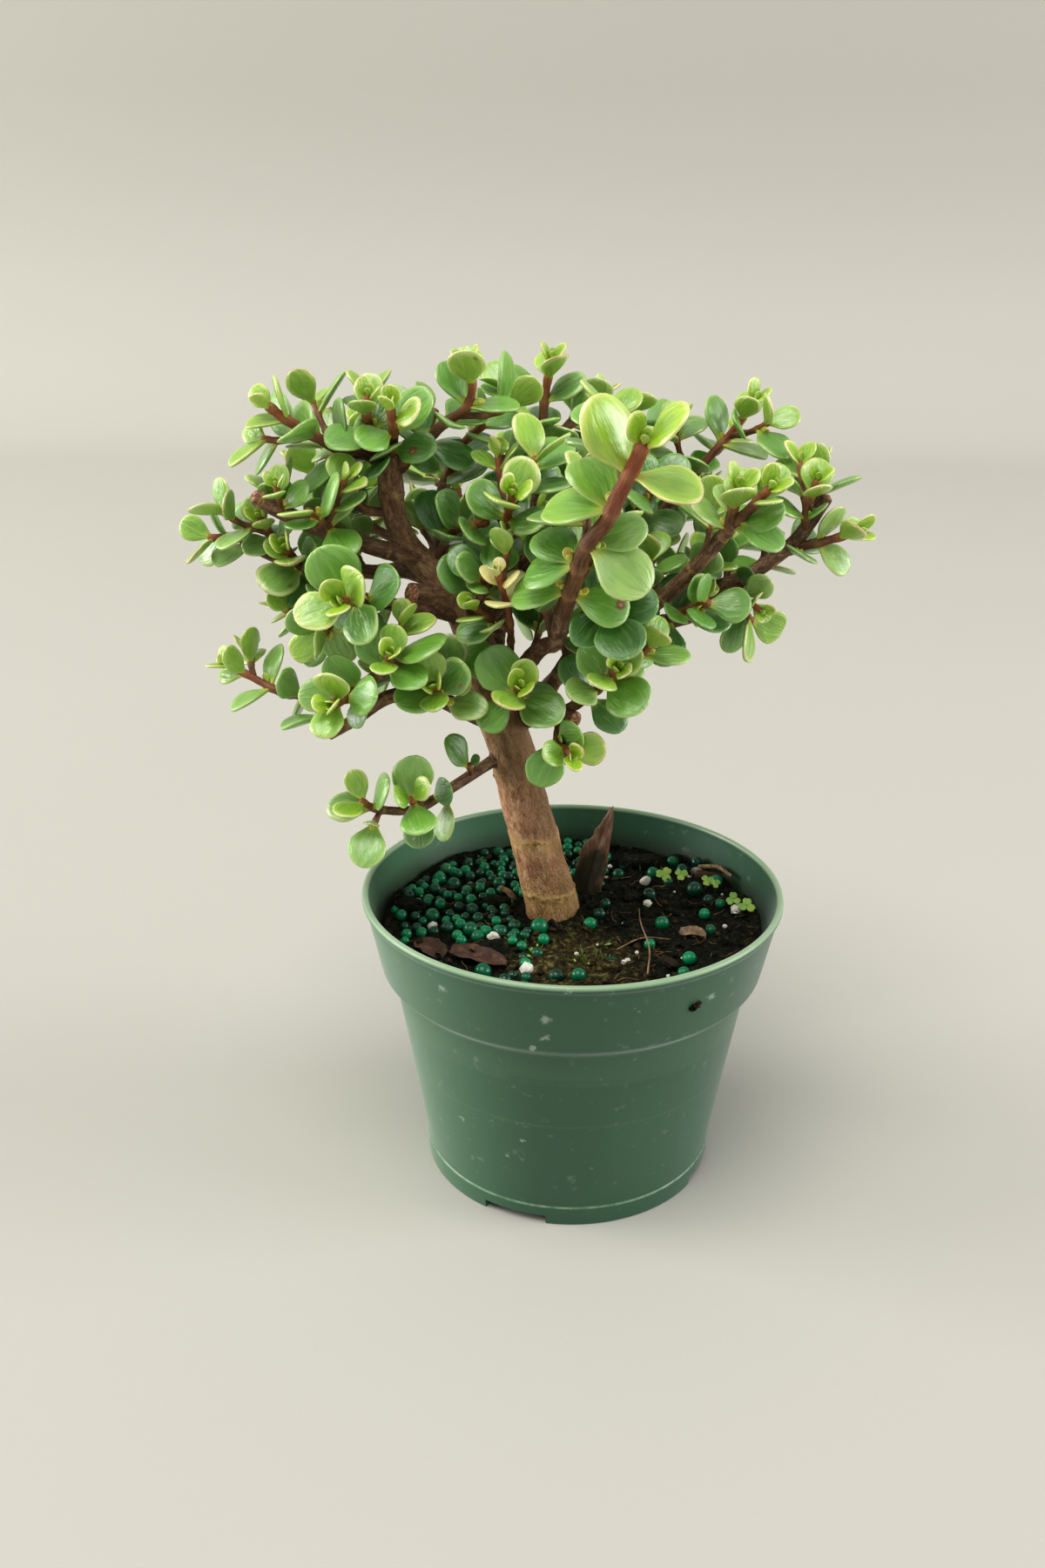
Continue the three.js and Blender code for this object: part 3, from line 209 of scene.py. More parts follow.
# Each stem: its node, its points, its radii at foot and tip, the number of leaf pairs, their spacing, the
# first pair's turn, a grown leaf's length and its options. A face of 1 turns the leaves to the light, and an
# age starts at an older pair. A pose has the distance from the tip and each leaf's turn, splay and share.
STEMS = [
    (
        "front_arch",
        [(-4, -30, 192), (-1, -38, 203), (2, -46, 214), (7, -52, 222), (10, -57, 230), (13, -61, 237),
         (15, -65, 243)],
        2.5, 1.9, 6, 10, 0, 17,
        {
            "face": 0.6,
            "pose": [
                (1, (20, 25, 0.5), (180, 32, 0.8)),
                (10, (0, 51, 1.05), (180, 88, 0.98)),
                (23, (5, 125, 0.95), (-50, 80, 0.9)),
                (36, (180, 99, 1.1), (230, 75, 0.9)),
                (45, (15, 135, 0.9), (-35, 100, 0.85)),
                (56, (180, 84, 0.85), (10, 125, 0.9)),
            ],
        },
    ),
    ("rosette_left", [(-58, -18, 192), (-61, -26, 194), (-64, -36, 196)],
     1.9, 1.3, 4, 6, 0, 16.5, {"face": 0.5}),
    ("pair_left", [(-57, -22, 171), (-53, -30, 175), (-51, -38, 182)], 1.5, 1, 3, 6, 0, 13, {"face": 0.5}),
    ("rosette_mid", [(-37, -10, 159), (-39, -20, 164), (-40, -31, 171)],
     1.6, 1, 4, 7, 0, 14, {"face": 0.5}),
    ("bud_left", [(-60, -24, 169), (-64, -30, 167), (-67, -40, 168)],
     1.6, 1.1, 4, 6, 45, 14, {"face": 0.5}),
    ("pair_centre", [(-23, -4, 158), (-18, -16, 163), (-16, -28, 170)],
     1.6, 1.1, 4, 7, 0, 14.5, {"face": 0.5}),
    ("rosette_right", [(-5, -8, 156), (3, -16, 163), (8, -26, 171), (11, -36, 178)],
     1.6, 1.1, 5, 7, 0, 14.5, {"face": 0.5}),
    ("low_right", [(-4, -10, 155), (-5, -18, 151), (-1, -28, 150)], 1.5, 1, 4, 7, 40, 14, {"face": 0.5}),
    ("centre_pair", [(-24, 8, 191), (-22, -6, 206), (-18, -26, 224)],
     1.5, 1.1, 4, 9, 0, 14.5, {"face": 0.5}),
    ("left_crown", [(-54, -3, 226), (-60, -6, 231), (-66, -8, 232), (-73, -10, 236), (-81, -12, 241),
      (-86, -13, 245)],
     1.9, 1.3, 6, 10, 70, 14.5, {}),
    ("left_crown", [(-55, -3, 229), (-58, -8, 237), (-59, -12, 242), (-58, -14, 248)],
     1.7, 1.2, 4, 8, 0, 13, {}),
    ("left_crown", [(-54, -3, 229), (-52, -10, 236), (-51, -18, 241), (-51, -22, 246)],
     1.7, 1.2, 4, 8, 80, 14, {"face": 0.6}),
    ("peak_left", [(-53, -3, 226), (-47, -5, 232), (-44, -5, 234), (-38, -6, 240), (-32, -7, 244),
      (-30, -8, 250), (-31, -9, 256)],
     1.8, 1.1, 7, 8, 0, 14, {}),
    ("peak_mid", [(-11, 20, 218), (-11, 20, 230), (-11, 20, 242), (-9, 20, 255)],
     1.9, 1.1, 7, 8, 10, 14, {}),
    ("peak_mid", [(-10, 20, 227), (-4, 22, 236), (1, 24, 238), (6, 26, 245)], 1.6, 1.1, 5, 9, 20, 14, {}),
    ("right_spire", [(22, 30, 205), (35, 30, 221), (40, 30, 227), (46, 30, 234), (52, 30, 243)],
     1.7, 1, 5, 11, 0, 13, {}),
    ("right_fan", [(41, -17, 212), (42, -19, 219), (43, -20, 225)], 1.8, 1.3, 4, 8, 0, 15, {}),
    ("right_fan", [(42, -17, 214), (47, -20, 220), (51, -24, 226)], 1.7, 1.2, 4, 9, 0, 14, {}),
    ("far_right_top", [(67, 9, 208), (66, 5, 215), (68, 3, 224)], 1.5, 1.1, 4, 8, 0, 13, {}),
    ("far_right_side", [(61, 9, 202), (67, 8, 204), (73, 6, 206), (81, 4, 209)],
     1.7, 1.1, 6, 8, 20, 13.5, {}),
    ("right_sprig", [(51, 8, 194), (48, 2, 191), (50, -4, 190), (53, -8, 188)], 1, 0.8, 4, 6, 0, 9, {}),
    ("left_cut_sprig", [(-83, -16, 216), (-83, -19, 220), (-83, -22, 225)], 1, 0.8, 3, 6, 0, 10, {}),
    ("left_bud", [(-84, 5, 197), (-88, -4, 206), (-91, -10, 214)], 1.3, 1, 4, 7, 0, 10.5, {}),
    ("far_left", [(-96, 3, 202), (-101, 0, 206), (-108, -3, 206)], 1.3, 1, 4, 8, 30, 13, {"age": 1}),
    ("left_over", [(-69, -11, 209), (-71, -18, 214), (-75, -22, 218)], 1.2, 1, 4, 7, 60, 14, {"age": 1}),
    ("left_under", [(-80, 6, 195), (-81, -6, 199), (-83, -14, 206)], 1.4, 1.1, 4, 8, 0, 14, {}),
    ("rosette_small", [(-62, -21, 194), (-79, -12, 186), (-89, -8, 188)], 1.2, 0.9, 4, 9, 40, 10, {}),
    ("low_left_long", [(-67, -25, 156), (-75, -22, 162), (-80, -20, 164), (-85, -19, 164), (-94, -17, 168),
      (-102, -16, 172)],
     1.5, 1, 6, 10, 20, 13.5, {}),
    ("lowest_tip", [(-55, -24, 130), (-58, -26, 131), (-62, -29, 135)],
     1.2, 0.9, 4, 8, 40, 13, {"face": 0.6, "age": 1}),
    ("lowest_mid", [(-40, -14, 131), (-46, -24, 132), (-47, -32, 137)],
     1.2, 0.9, 4, 7, 0, 12.5, {"face": 0.6, "age": 1}),
    ("cream_sprig", [(-20, -3, 165), (-19, -18, 186), (-22, -28, 203)], 1.2, 0.9, 3, 8, 60, 10, {}),
    ("inner_front", [(-33, 1, 183), (-27, -12, 193), (-26, -22, 201)], 1.6, 1.2, 3, 9, 30, 14, {"age": 1}),
    ("inner_front_right", [(-6, -20, 181), (-9, -20, 192), (-12, -24, 203)],
     1.6, 1.2, 3, 9, 60, 15, {"age": 1}),
    ("inner_fork", [(-43, 1, 197), (-36, -4, 209), (-26, -14, 214)], 1.6, 1.2, 4, 8, 60, 14, {"age": 1}),
    ("inner_right_low", [(7, -2, 180), (6, -20, 190), (8, -34, 194)], 1.6, 1.2, 3, 7, 60, 15, {"age": 2}),
    ("inner_right_side", [(25, 2, 181), (30, -10, 188), (37, -18, 193)],
     1.4, 1, 4, 8, 60, 13.5, {"age": 1}),
    ("inner_right_top", [(10, 29, 200), (17, 20, 210), (22, 10, 220)], 1.5, 1.1, 4, 9, 0, 14, {"age": 1}),
    ("inner_up_right", [(-54, -3, 224), (-46, 4, 232), (-42, 8, 242)], 1.5, 1.1, 4, 8, 0, 14, {"age": 1}),
    ("inner_up_back", [(-40, 12, 219), (-36, 10, 230), (-28, 8, 238)],
     1.5, 1.1, 4, 8, 40, 14.5, {"age": 1}),
    ("inner_top_front", [(-16, 17, 206), (-20, 8, 214), (-22, 0, 230)],
     1.5, 1.1, 4, 8, 0, 14.5, {"age": 1}),
    ("inner_top_right", [(4, 28, 199), (8, 20, 212), (10, 12, 224)], 1.5, 1.1, 4, 8, 0, 14.5, {"age": 1}),
    ("inner_up_left", [(-53, -2, 214), (-62, -6, 216), (-66, -8, 224)], 1.5, 1.1, 3, 8, 0, 14, {"age": 1}),
    ("inner_right_back", [(20, 30, 204), (22, 36, 220), (20, 40, 232)], 1.5, 1.1, 4, 9, 0, 14, {"age": 1}),
    ("back_left_tip", [(-62, 36, 210), (-68, 46, 221), (-70, 52, 232)], 1.6, 1.2, 4, 9, 0, 14.5, {}),
    ("back_left_side", [(-54, 18, 201), (-66, 24, 206), (-78, 28, 214), (-86, 30, 224)],
     1.6, 1.1, 4, 9, 0, 14, {}),
    ("back_tip", [(-14, 51, 201), (-8, 64, 212), (-6, 70, 224)], 1.7, 1.2, 4, 8, 0, 15, {}),
    ("back_mid_left", [(-20, 36, 188), (-30, 46, 196), (-38, 54, 206), (-42, 58, 216)],
     1.6, 1.1, 4, 9, 0, 14.5, {}),
    ("back_mid_right", [(-19, 38, 190), (-8, 42, 200), (2, 46, 212), (6, 48, 222)],
     1.6, 1.1, 4, 9, 0, 14.5, {}),
    ("back_right_tip", [(23, 48, 189), (30, 58, 200), (34, 62, 212)], 1.6, 1.2, 4, 8, 0, 14.5, {}),
    ("back_right_side", [(14, 32, 178), (28, 30, 184), (42, 30, 194), (50, 32, 206)],
     1.6, 1.1, 4, 9, 0, 14.5, {}),
    ("back_low", [(-6, 13, 161), (6, 28, 162), (12, 40, 166)], 1.5, 1, 4, 8, 0, 14, {}),
]


def unit(v):
    """A vector at length 1."""
    return v / math.sqrt(v @ v)


SIGHT = unit(np.array([0, 0.93, -0.37]))
LIGHT = unit(np.array([-0.1, -0.72, 0.69]))


class Draws:
    """A repeatable sequence of numbers between 0 and 1."""

    def __init__(self, seed):
        self.state = seed

    def next(self):
        self.state = (self.state * 16807) % 2147483647
        return self.state / 2147483647

    def between(self, low, high):
        return low + (high - low) * self.next()

    def spread(self, most):
        """A number from -most to most."""
        return (self.next() * 2 - 1) * most


# ---- the plant's rule: centre lines, then leaves in pairs from each tip ----


def centre_line(points):
    """A smooth curve through the points, with a few steps between them."""
    at = [np.array(p, float) for p in points]
    line = []
    for i in range(len(at) - 1):
        p1, p2 = at[i], at[i + 1]
        p0 = at[i - 1] if i else 2 * p1 - p2
        p3 = at[i + 2] if i + 2 < len(at) else 2 * p2 - p1
        for step in range(STEPS):
            t = step / STEPS
            line.append(
                p1
                + 0.5 * (p2 - p0) * t
                + (p0 - 2.5 * p1 + 2 * p2 - 0.5 * p3) * t * t
                + (1.5 * (p1 - p2) + 0.5 * (p3 - p0)) * t**3
            )
    line.append(at[-1])
    return np.array(line)


def circle(count):
    """Evenly spaced angles, once round."""
    return 2 * np.pi * np.arange(count) / count


def radius_at(radii, share):
    """The radius at a share of a line whose radii are evenly spaced."""
    place = share * (len(radii) - 1)
    i = min(int(place), len(radii) - 2)
    return radii[i] + (radii[i + 1] - radii[i]) * (place - i)


def along_line(line, distance):
    """The place on a centre line at a distance from its start, with the direction there."""
    left = distance
    i = 0
    while i < len(line) - 2 and left > np.linalg.norm(line[i + 1] - line[i]):
        left -= np.linalg.norm(line[i + 1] - line[i])
        i += 1
    step = line[i + 1] - line[i]
    size = np.linalg.norm(step)
    return line[i] + step * (left / size), step / size


def length_of(line):
    """The length of a centre line."""
    return float(np.linalg.norm(np.diff(line, axis=0), axis=1).sum())


def half_width(along):
    """Half a leaf's outline at a share of its length, where the whole width is 1."""
    return 0.5 * np.sqrt(np.maximum(0.04, 1 - ((along - LEAF_MIDDLE) / LEAF_REACH) ** 2))


def leaf_at(node, turn, splay, size, roundness, twist):
    """A leaf that leaves its stem at a turn and a splay, and faces the tip and the light."""
    out = node["first"] * math.cos(turn) + node["second"] * math.sin(turn)
    way = unit(node["along"] * math.cos(splay) + out * math.sin(splay) + np.array([0, 0, LIFT]))
    face = node["along"] * math.sin(splay) - out * math.cos(splay)
    face = face * (1 - node["turning"]) + LIGHT * node["turning"]
    face = unit(face - way * (face @ way))
    face = unit(face + np.cross(face, way) * twist)
    base = node["place"] + out * 0.5 * node["radius"]
    side = np.cross(face, way)
    width = size * roundness
    samples = np.array([base + way * size * u + side * width * v for u, v in SAMPLES])
    leaf = dict(node=node["name"], base=base, way=way, face=face, side=side, out=out)
    return dict(leaf, length=size, width=width, samples=samples)


def reaches(points, leaf, gap, start):
    """Whether any of the points lies within gap of the leaf's middle plane, inside its outline."""
    offset = points - leaf["base"]
    along = offset @ leaf["way"] / leaf["length"]
    near = (along > start) & (along < 1.07) & (np.abs(offset @ leaf["face"]) < gap)
    inside = np.abs(offset @ leaf["side"]) / leaf["width"] < half_width(along) + 0.06
    return bool((near & inside).any())


def is_clear(leaf, placed, tubes):
    """Whether a leaf stays above the pot and clear of the other leaves and of every limb and stem."""
    if leaf["samples"][:, 2].min() < LOWEST_LEAF:
        return False
    middle = leaf["samples"][MIDDLE_SAMPLE]
    for other in placed:
        near = LEAF_MIDDLE * (other["length"] + leaf["length"]) + 4
        if np.linalg.norm(other["samples"][MIDDLE_SAMPLE] - middle) > near:
            continue
        if other["node"] == leaf["node"]:
            if reaches(leaf["samples"][NECK_SAMPLES:], other, OWN_GAP, NECK):
                return False
            if reaches(other["samples"][NECK_SAMPLES:], leaf, OWN_GAP, NECK):
                return False
        elif reaches(leaf["samples"], other, LEAF_GAP, 0) or reaches(other["samples"], leaf, LEAF_GAP, 0):
            return False
    for name, line, radii in tubes:
        if name != leaf["node"]:
            gaps = np.linalg.norm(leaf["samples"][:, None] - line[None], axis=2) - radii[None]
            if gaps.min() < BARK_GAP:
                return False
    return True


def tube_of(name, points, radii):
    """A stem's name, its centre line and its radius at each point of the line."""
    line = centre_line(points)
    return name, line, np.array([radius_at(radii, i / (len(line) - 1)) for i in range(len(line))])


def leaves_of(index, stem, placed, tubes):
    """Leaf pairs down one stem from its tip. A leaf that would touch another bends clear, or isn't there."""
    name, points, thick, thin, pairs, spacing, roll, grown_length, options = stem
    line = centre_line(points)
    total = length_of(line)
    draw = Draws(FIRST_SEED + SEED_STEP * index)
    back = TIP_PAIR
    own = []
    for pair in range(pairs):
        if total - back < 1:
            break
        posed = options["pose"][pair] if "pose" in options else None
        if posed:
            back = posed[0]
        place, along = along_line(line, total - back)
        radius = thick + (thin - thick) * (total - back) / total
        node = node_at(name, place, along, radius, options.get("face", 0.45))
        grown = min(pair + options.get("age", 0), len(GROWTH) - 1)
        for side in (0, 1):
            usual = (roll + 90 * pair + 180 * side, SPLAY[grown], GROWTH[grown])
            around, opening, share = posed[side + 1] if posed else usual
            turn = around + draw.spread(TURN_SPREAD)
            splay = opening + draw.spread(SPLAY_SPREAD)
            length = grown_length * share * (1 + draw.spread(LENGTH_SPREAD))
            roundness = LEAF_ROUNDNESS + draw.spread(ROUNDNESS_SPREAD)
            twist = draw.spread(TWIST_SPREAD)
            for bend, more, scale in BENDS:
                angle, slope = math.radians(turn + bend), math.radians(splay + more)
                leaf = leaf_at(node, angle, slope, length * scale, roundness, twist)
                if is_clear(leaf, placed + own, tubes):
                    leaf.update(grown=grown, along=along, at=total - back)
                    own.append(leaf)
                    break
        back += spacing * SPACING[min(pair, len(SPACING) - 1)]
    return own


def node_at(name, place, along, radius, turning):
    """Where a pair of leaves grows, with two directions across the stem."""
    first = unit(np.cross(along, SIGHT))
    node = dict(name=name, place=place, along=along, turning=turning, radius=radius)
    return dict(node, first=first, second=np.cross(along, first))


def grow_plant():
    """The stems of the solids with their leaves, then short shoots between them from the bare limbs."""
    tubes = [tube_of(name, points, radii) for name, (points, radii) in LIMBS.items()]
    tubes += [tube_of(stem[0], stem[1], stem[2:4]) for stem in STEMS]
    placed, grown, short = [], [], []
    for index, stem in enumerate(STEMS):
        own = leaves_of(index, stem, placed, tubes)
        placed += own
        grown.append((stem, own))
    for index, stem in enumerate(SHORT_SHOOTS):
        own = leaves_of(SHORT_INDEX + index, stem, placed, tubes)
        placed += own
        tubes.append(tube_of(stem[0], stem[1], stem[2:4]))
        short.append((stem, own))
    return grown, short + side_shoots(placed, tubes)


def side_shoots(placed, tubes):
    """Short leafy shoots at old nodes along the limbs, wherever there is room for them and their leaves."""
    draw = Draws(SHOOT_SEED)
    shoots = []
    for name, line, radii in list(tubes):
        total = length_of(line)
        reach = SHOOT_START
        while reach < total - 4:
            place, along = along_line(line, reach)
            reach += SHOOT_SPACING * draw.between(0.8, 1.2)
            thick = radius_at(list(radii), min(reach / total, 1))
            if place[2] < SHOOT_LOWEST or thick > SHOOT_LIMB:
                continue
            first = unit(np.cross(along, SIGHT))
            second = np.cross(along, first)
            for turn in BARE_TURNS if name in BARE_LIMBS else SHOOT_TURNS:
                angle = math.radians(turn + draw.spread(25))
                out = first * math.cos(angle) + second * math.sin(angle)
                way = unit(out * 0.85 + along * 0.35 + np.array([0, 0, 0.35]))
                size = draw.between(9, 17)
                tip = place + way * size + np.array([0, 0, 0.15 * size])
                points = [place + out * 0.5 * thick, place + way * 0.55 * size, tip]
                length = draw.between(12, 16)
                options = {"age": int(draw.between(0, 2))}
                shoot = f"shoot_{len(shoots)}"
                stem = (shoot, points, *SHOOT_RADII, 3, 6.5, draw.between(0, 180), length, options)
                if not is_open(stem, name, placed, tubes):
                    continue
                own = leaves_of(SHOOT_INDEX + len(shoots), stem, placed, tubes)
                if len(own) >= FEWEST_LEAVES:
                    placed += own
                    tubes.append(tube_of(shoot, points, SHOOT_RADII))
                    shoots.append((stem, own))
    return shoots


def is_open(stem, parent, placed, tubes):
    """Whether a shoot stays inside the crown and clear of every leaf and of every limb but its own."""
    line = centre_line(stem[1])
    tip = line[-1]
    if not all(LOW[k] + SHOOT_MARGIN < tip[k] < HIGH[k] - SHOOT_MARGIN for k in range(3)):
        return False
    if any(reaches(line[3:], leaf, 2.2, 0) for leaf in placed):
        return False
    for name, other, radii in tubes:
        own = line[4:] if name == parent else line
        gaps = np.linalg.norm(own[:, None] - other[None], axis=2) - radii[None]
        if gaps.min() < (1.0 if name == parent else 2.2):
            return False
    return True


# ---- meshes ----

VECTORS = ("bark",)


class Shape:
    """Points in millimetres, faces, a material for each face, and named values for each point."""

    def __init__(self, *values):
        self.points = []
        self.faces = []
        self.kinds = []
        self.values = {name: [] for name in values}
        self.count = 0

    def add(self, points, faces, kind=0, **values):
        """Adds points and faces. A named value is one number, or one row for each point."""
        points = np.asarray(points, float)
        self.faces += [tuple(i + self.count for i in face) for face in faces]
        self.kinds += [kind] * len(faces)
        self.points.append(points)
        self.count += len(points)
        for name, stored in self.values.items():
            width = 3 if name in VECTORS else 1
            value = np.asarray(values.get(name, 0.0), float)
            if value.size > 1:
                value = value.reshape(-1, width)
            stored.append(np.zeros((len(points), width)) + value)

    def mesh(self, name, materials, smooth=True):
        """The mesh in metres, with its materials and named values."""
        data = bpy.data.meshes.new(name)
        data.from_pydata((np.concatenate(self.points) * 0.001).tolist(), [], self.faces)
        for material in materials:
            data.materials.append(material)
        data.polygons.foreach_set("material_index", np.array(self.kinds, np.int32))
        data.polygons.foreach_set("use_smooth", np.full(len(self.faces), smooth))
        for key, stored in self.values.items():
            give(data, key, np.concatenate(stored))
        data.update()
        return data


def give(data, name, values):
    """Named values for the points of a mesh."""
    kind, field = ("FLOAT_VECTOR", "vector") if name in VECTORS else ("FLOAT", "value")
    layer = data.attributes.new(name, kind, "POINT")
    layer.data.foreach_set(field, values.astype(np.float32).ravel())


def in_scene(name, data):
    """A new object in the scene."""
    made = bpy.data.objects.new(name, data)
    bpy.context.scene.collection.objects.link(made)
    return made


def meshed(thing):
    """The mesh of an object after its modifiers."""
    return bpy.data.meshes.new_from_object(thing.evaluated_get(bpy.context.evaluated_depsgraph_get()))


def add_piece(name, data, slot, *nodes):
    """Puts a mesh in the scene, riding on the part's one body, in the place of the named solids."""
    piece = in_scene(name, data)
    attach(piece, "root")
    if nodes:
        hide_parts(*nodes)


def ring_faces(rings, sides):
    """Quads over rings of equally many points, with a fan to a pole at each end."""
    faces = []
    for k in range(0, (rings - 1) * sides, sides):
        for i in range(sides):
            j = (i + 1) % sides
            faces.append((k + i, k + j, k + sides + j, k + sides + i))
    first, last, top = rings * sides, rings * sides + 1, (rings - 1) * sides
    for i in range(sides):
        j = (i + 1) % sides
        faces += [(first, j, i), (last, top + i, top + j)]
    return faces


def tube(line, radii, sides, across=(0, -1, 0.2)):
    """Rings along a centre line with their poles, and each point's place round the line."""
    line = np.asarray(line, float)
    rings, rounds = [], []
    tangents = np.gradient(line, axis=0)
    tangents /= np.linalg.norm(tangents, axis=1)[:, None]
    across = np.array(across, float)
    angles = circle(sides)
    for point, along, radius in zip(line, tangents, radii):
        across = unit(across - along * (across @ along))
        side = np.cross(along, across)
        out = np.cos(angles)[:, None] * across + np.sin(angles)[:, None] * side
        rings.append(point + out * radius)
        rounds.append(np.stack([np.cos(angles) * radius, np.sin(angles) * radius], 1))
    start = line[0] - tangents[0] * 0.4 * radii[0]
    stop = line[-1] + tangents[-1] * 0.4 * radii[-1]
    points = np.concatenate(rings + [[start, stop]])
    rounds = np.concatenate(rounds + [[[0, 0], [0, 0]]])
    return points, ring_faces(len(line), sides), rounds


def resampled(line, step):
    """Points every step along a line, with their distances from its start."""
    parts = np.linalg.norm(np.diff(line, axis=0), axis=1)
    reached = np.concatenate([[0], np.cumsum(parts)])
    count = max(3, int(round(reached[-1] / step)) + 1)
    wanted = np.linspace(0, reached[-1], count)
    return np.stack([np.interp(wanted, reached, line[:, k]) for k in range(3)], 1), wanted


# ---- materials ----


def shade(colour):
    """A node's value as it is, or a shader colour from three screen values of 0 to 255."""
    if isinstance(colour, Value):
        return colour
    shares = [level / 255 for level in colour]
    return [((c + 0.055) / 1.055) ** 2.4 if c > 0.04 else c / 12.92 for c in shares] + [1]


def largest(first, *others):
    """The greatest of some values."""
    for other in others:
        first = first.maths("MAXIMUM", other)
    return first


class Value:
    """What a node of a material puts out. Sums and products of values add nodes, and read like formulas."""

    def __init__(self, paint, socket):
        self.paint = paint
        self.socket = socket

    def maths(self, operation, other=0.0):
        return self.paint.node("Math", {0: self, 1: other}, operation=operation)

    def __add__(self, other):
        return self.maths("ADD", other)

    def __sub__(self, other):
        return self.maths("SUBTRACT", other)

    def __mul__(self, other):
        return self.maths("MULTIPLY", other)

    def ease(self, low, high, start=0.0, end=1.0):
        """Start where this value is low, end where it's high, and a smooth change between them."""
        inputs = {"Value": self, "From Min": low, "From Max": high, "To Min": start, "To Max": end}
        return self.paint.node("MapRange", inputs, interpolation_type="SMOOTHSTEP")


class Paint:
    """A material whose nodes are added one by one."""

    def __init__(self, name, roughness, specular):
        self.material = bpy.data.materials.new(name)
        self.material.use_nodes = True
        self.tree = self.material.node_tree
        self.tree.nodes.clear()
        self.shader = self.tree.nodes.new("ShaderNodeBsdfPrincipled")
        self.shader.inputs["Roughness"].default_value = roughness
        self.shader.inputs["Specular IOR Level"].default_value = specular
        output = self.tree.nodes.new("ShaderNodeOutputMaterial")
        self.tree.links.new(self.shader.outputs["BSDF"], output.inputs["Surface"])

    def put(self, socket, value):
        if isinstance(value, Value):
            self.tree.links.new(value.socket, socket)
        else:
            socket.default_value = value

    def node(self, kind, inputs, output=0, **settings):
        """One output of a new node, whose inputs are values, numbers or colours."""
        made = self.tree.nodes.new("ShaderNode" + kind)
        for key, setting in settings.items():
            setattr(made, key, setting)
        for key, value in inputs.items():
            self.put(made.inputs[key], value)
        return Value(self, made.outputs[output])

    def value(self, name):
        """A number that each point of the mesh has."""
        return self.node("Attribute", {}, "Fac", attribute_name=name)

    def vector(self, name):
        return self.node("Attribute", {}, "Vector", attribute_name=name)

    def where(self):
        return self.node("TexCoord", {}, "Object")

    def coordinate(self, axis):
        """The place along one axis in metres."""
        return self.node("SeparateXYZ", {0: self.where()}, axis)

    def join(self, x, y, z):
        return self.node("CombineXYZ", {"X": x, "Y": y, "Z": z})

    def distance(self, point):
        """How far the surface is from a point given in millimetres."""
        metres = [0.001 * value for value in point]
        return self.node("VectorMath", {0: self.where(), 1: metres}, "Value", operation="DISTANCE")

    def noise(self, vector, scale, detail=2.0, roughness=0.5, distortion=0.0):
        """Soft noise. Three numbers for its scale stretch it."""
        if isinstance(scale, tuple):
            vector, scale = self.stretched(vector, scale), 1.0
        inputs = {"Vector": vector, "Scale": scale, "Detail": detail, "Roughness": roughness}
        return self.node("TexNoise", {**inputs, "Distortion": distortion})

    def cells(self, vector, scale):
        """The distance to the nearest of many scattered points."""
        return self.node("TexVoronoi", {"Vector": vector, "Scale": scale}, "Distance")

    def stretched(self, vector, scale, offset=(0, 0, 0)):
        return self.node("Mapping", {"Vector": vector, "Scale": scale, "Location": offset})

    def blend(self, share, first, second):
        """The first colour where the share is 0, the second where it's 1."""
        inputs = {"Factor": share, "A": shade(first), "B": shade(second)}
        return self.node("Mix", inputs, "Result", data_type="RGBA")

    def layers(self, colour, *tints):
        """A colour with tints laid over it in turn, each with its share."""
        for share, tint in tints:
            colour = self.blend(share, colour, tint)
        return colour

    def ramp(self, share, *stops):
        """A row of colours: each stop is a place from 0 to 1 with three screen values."""
        made = self.tree.nodes.new("ShaderNodeValToRGB")
        elements = made.color_ramp.elements
        while len(elements) < len(stops):
            elements.new(0.5)
        for element, (at, *colour) in zip(elements, stops):
            element.position = at
            element.color = shade(colour)
        self.put(made.inputs["Fac"], share)
        return Value(self, made.outputs["Color"])

    def bump(self, height, distance, strength, under=None):
        """A bumpy surface from a height, over another one where it's given."""
        inputs = {"Height": height, "Distance": distance, "Strength": strength}
        return self.node("Bump", inputs if under is None else {**inputs, "Normal": under})

    def finish(self, colour, normal=None, roughness=None):
        """The material, with what its surface takes from nodes."""
        inputs = {"Base Color": colour, "Normal": normal, "Roughness": roughness}
        for name, value in inputs.items():
            if value is not None:
                self.put(self.shader.inputs[name], value)
        return self.material


# ---- fine leaves ----

# Where a blade's rings lie along it.
LEAF_RINGS = [0, 0.07, 0.15, 0.24, 0.34, 0.45, 0.57, 0.69, 0.8, 0.89, 0.955, 0.995]
LEAF_SIDES = 16
LEAF_END = 1.02
NECK_END = 0.4
NECK_WIDTH = 0.085
NECK_SLOPE = 0.15
LEAF_VALUES = ("along", "across", "rim", "under", "age", "seed")
# Age added to the leaves of the inner stems, as painted shade in the middle of the crown.
INNER_SHADE = 0.35
# The share of its age that each leaf of the front stem keeps, which makes it paler.
FRONT_PALER = 0.7
CREAM = 2.0
BUD = -0.5
STEM_VALUES = ("bark", "scar")


def fine_half_width(along):
    """Half the leaf's width: a narrow neck that runs smoothly into the round blade."""
    t = np.clip(along / NECK_END, 0, 1)
    full = half_width(np.array(NECK_END))
    slope = (LEAF_MIDDLE - NECK_END) / LEAF_REACH**2 / (4 * full)
    neck = (
        NECK_WIDTH * (2 * t**3 - 3 * t**2 + 1)
        + NECK_SLOPE * NECK_END * (t**3 - 2 * t**2 + t)
        + full * (3 * t**2 - 2 * t**3)
        + slope * NECK_END * (t**3 - t**2)
    )
    return np.where(along < NECK_END, neck, half_width(along))


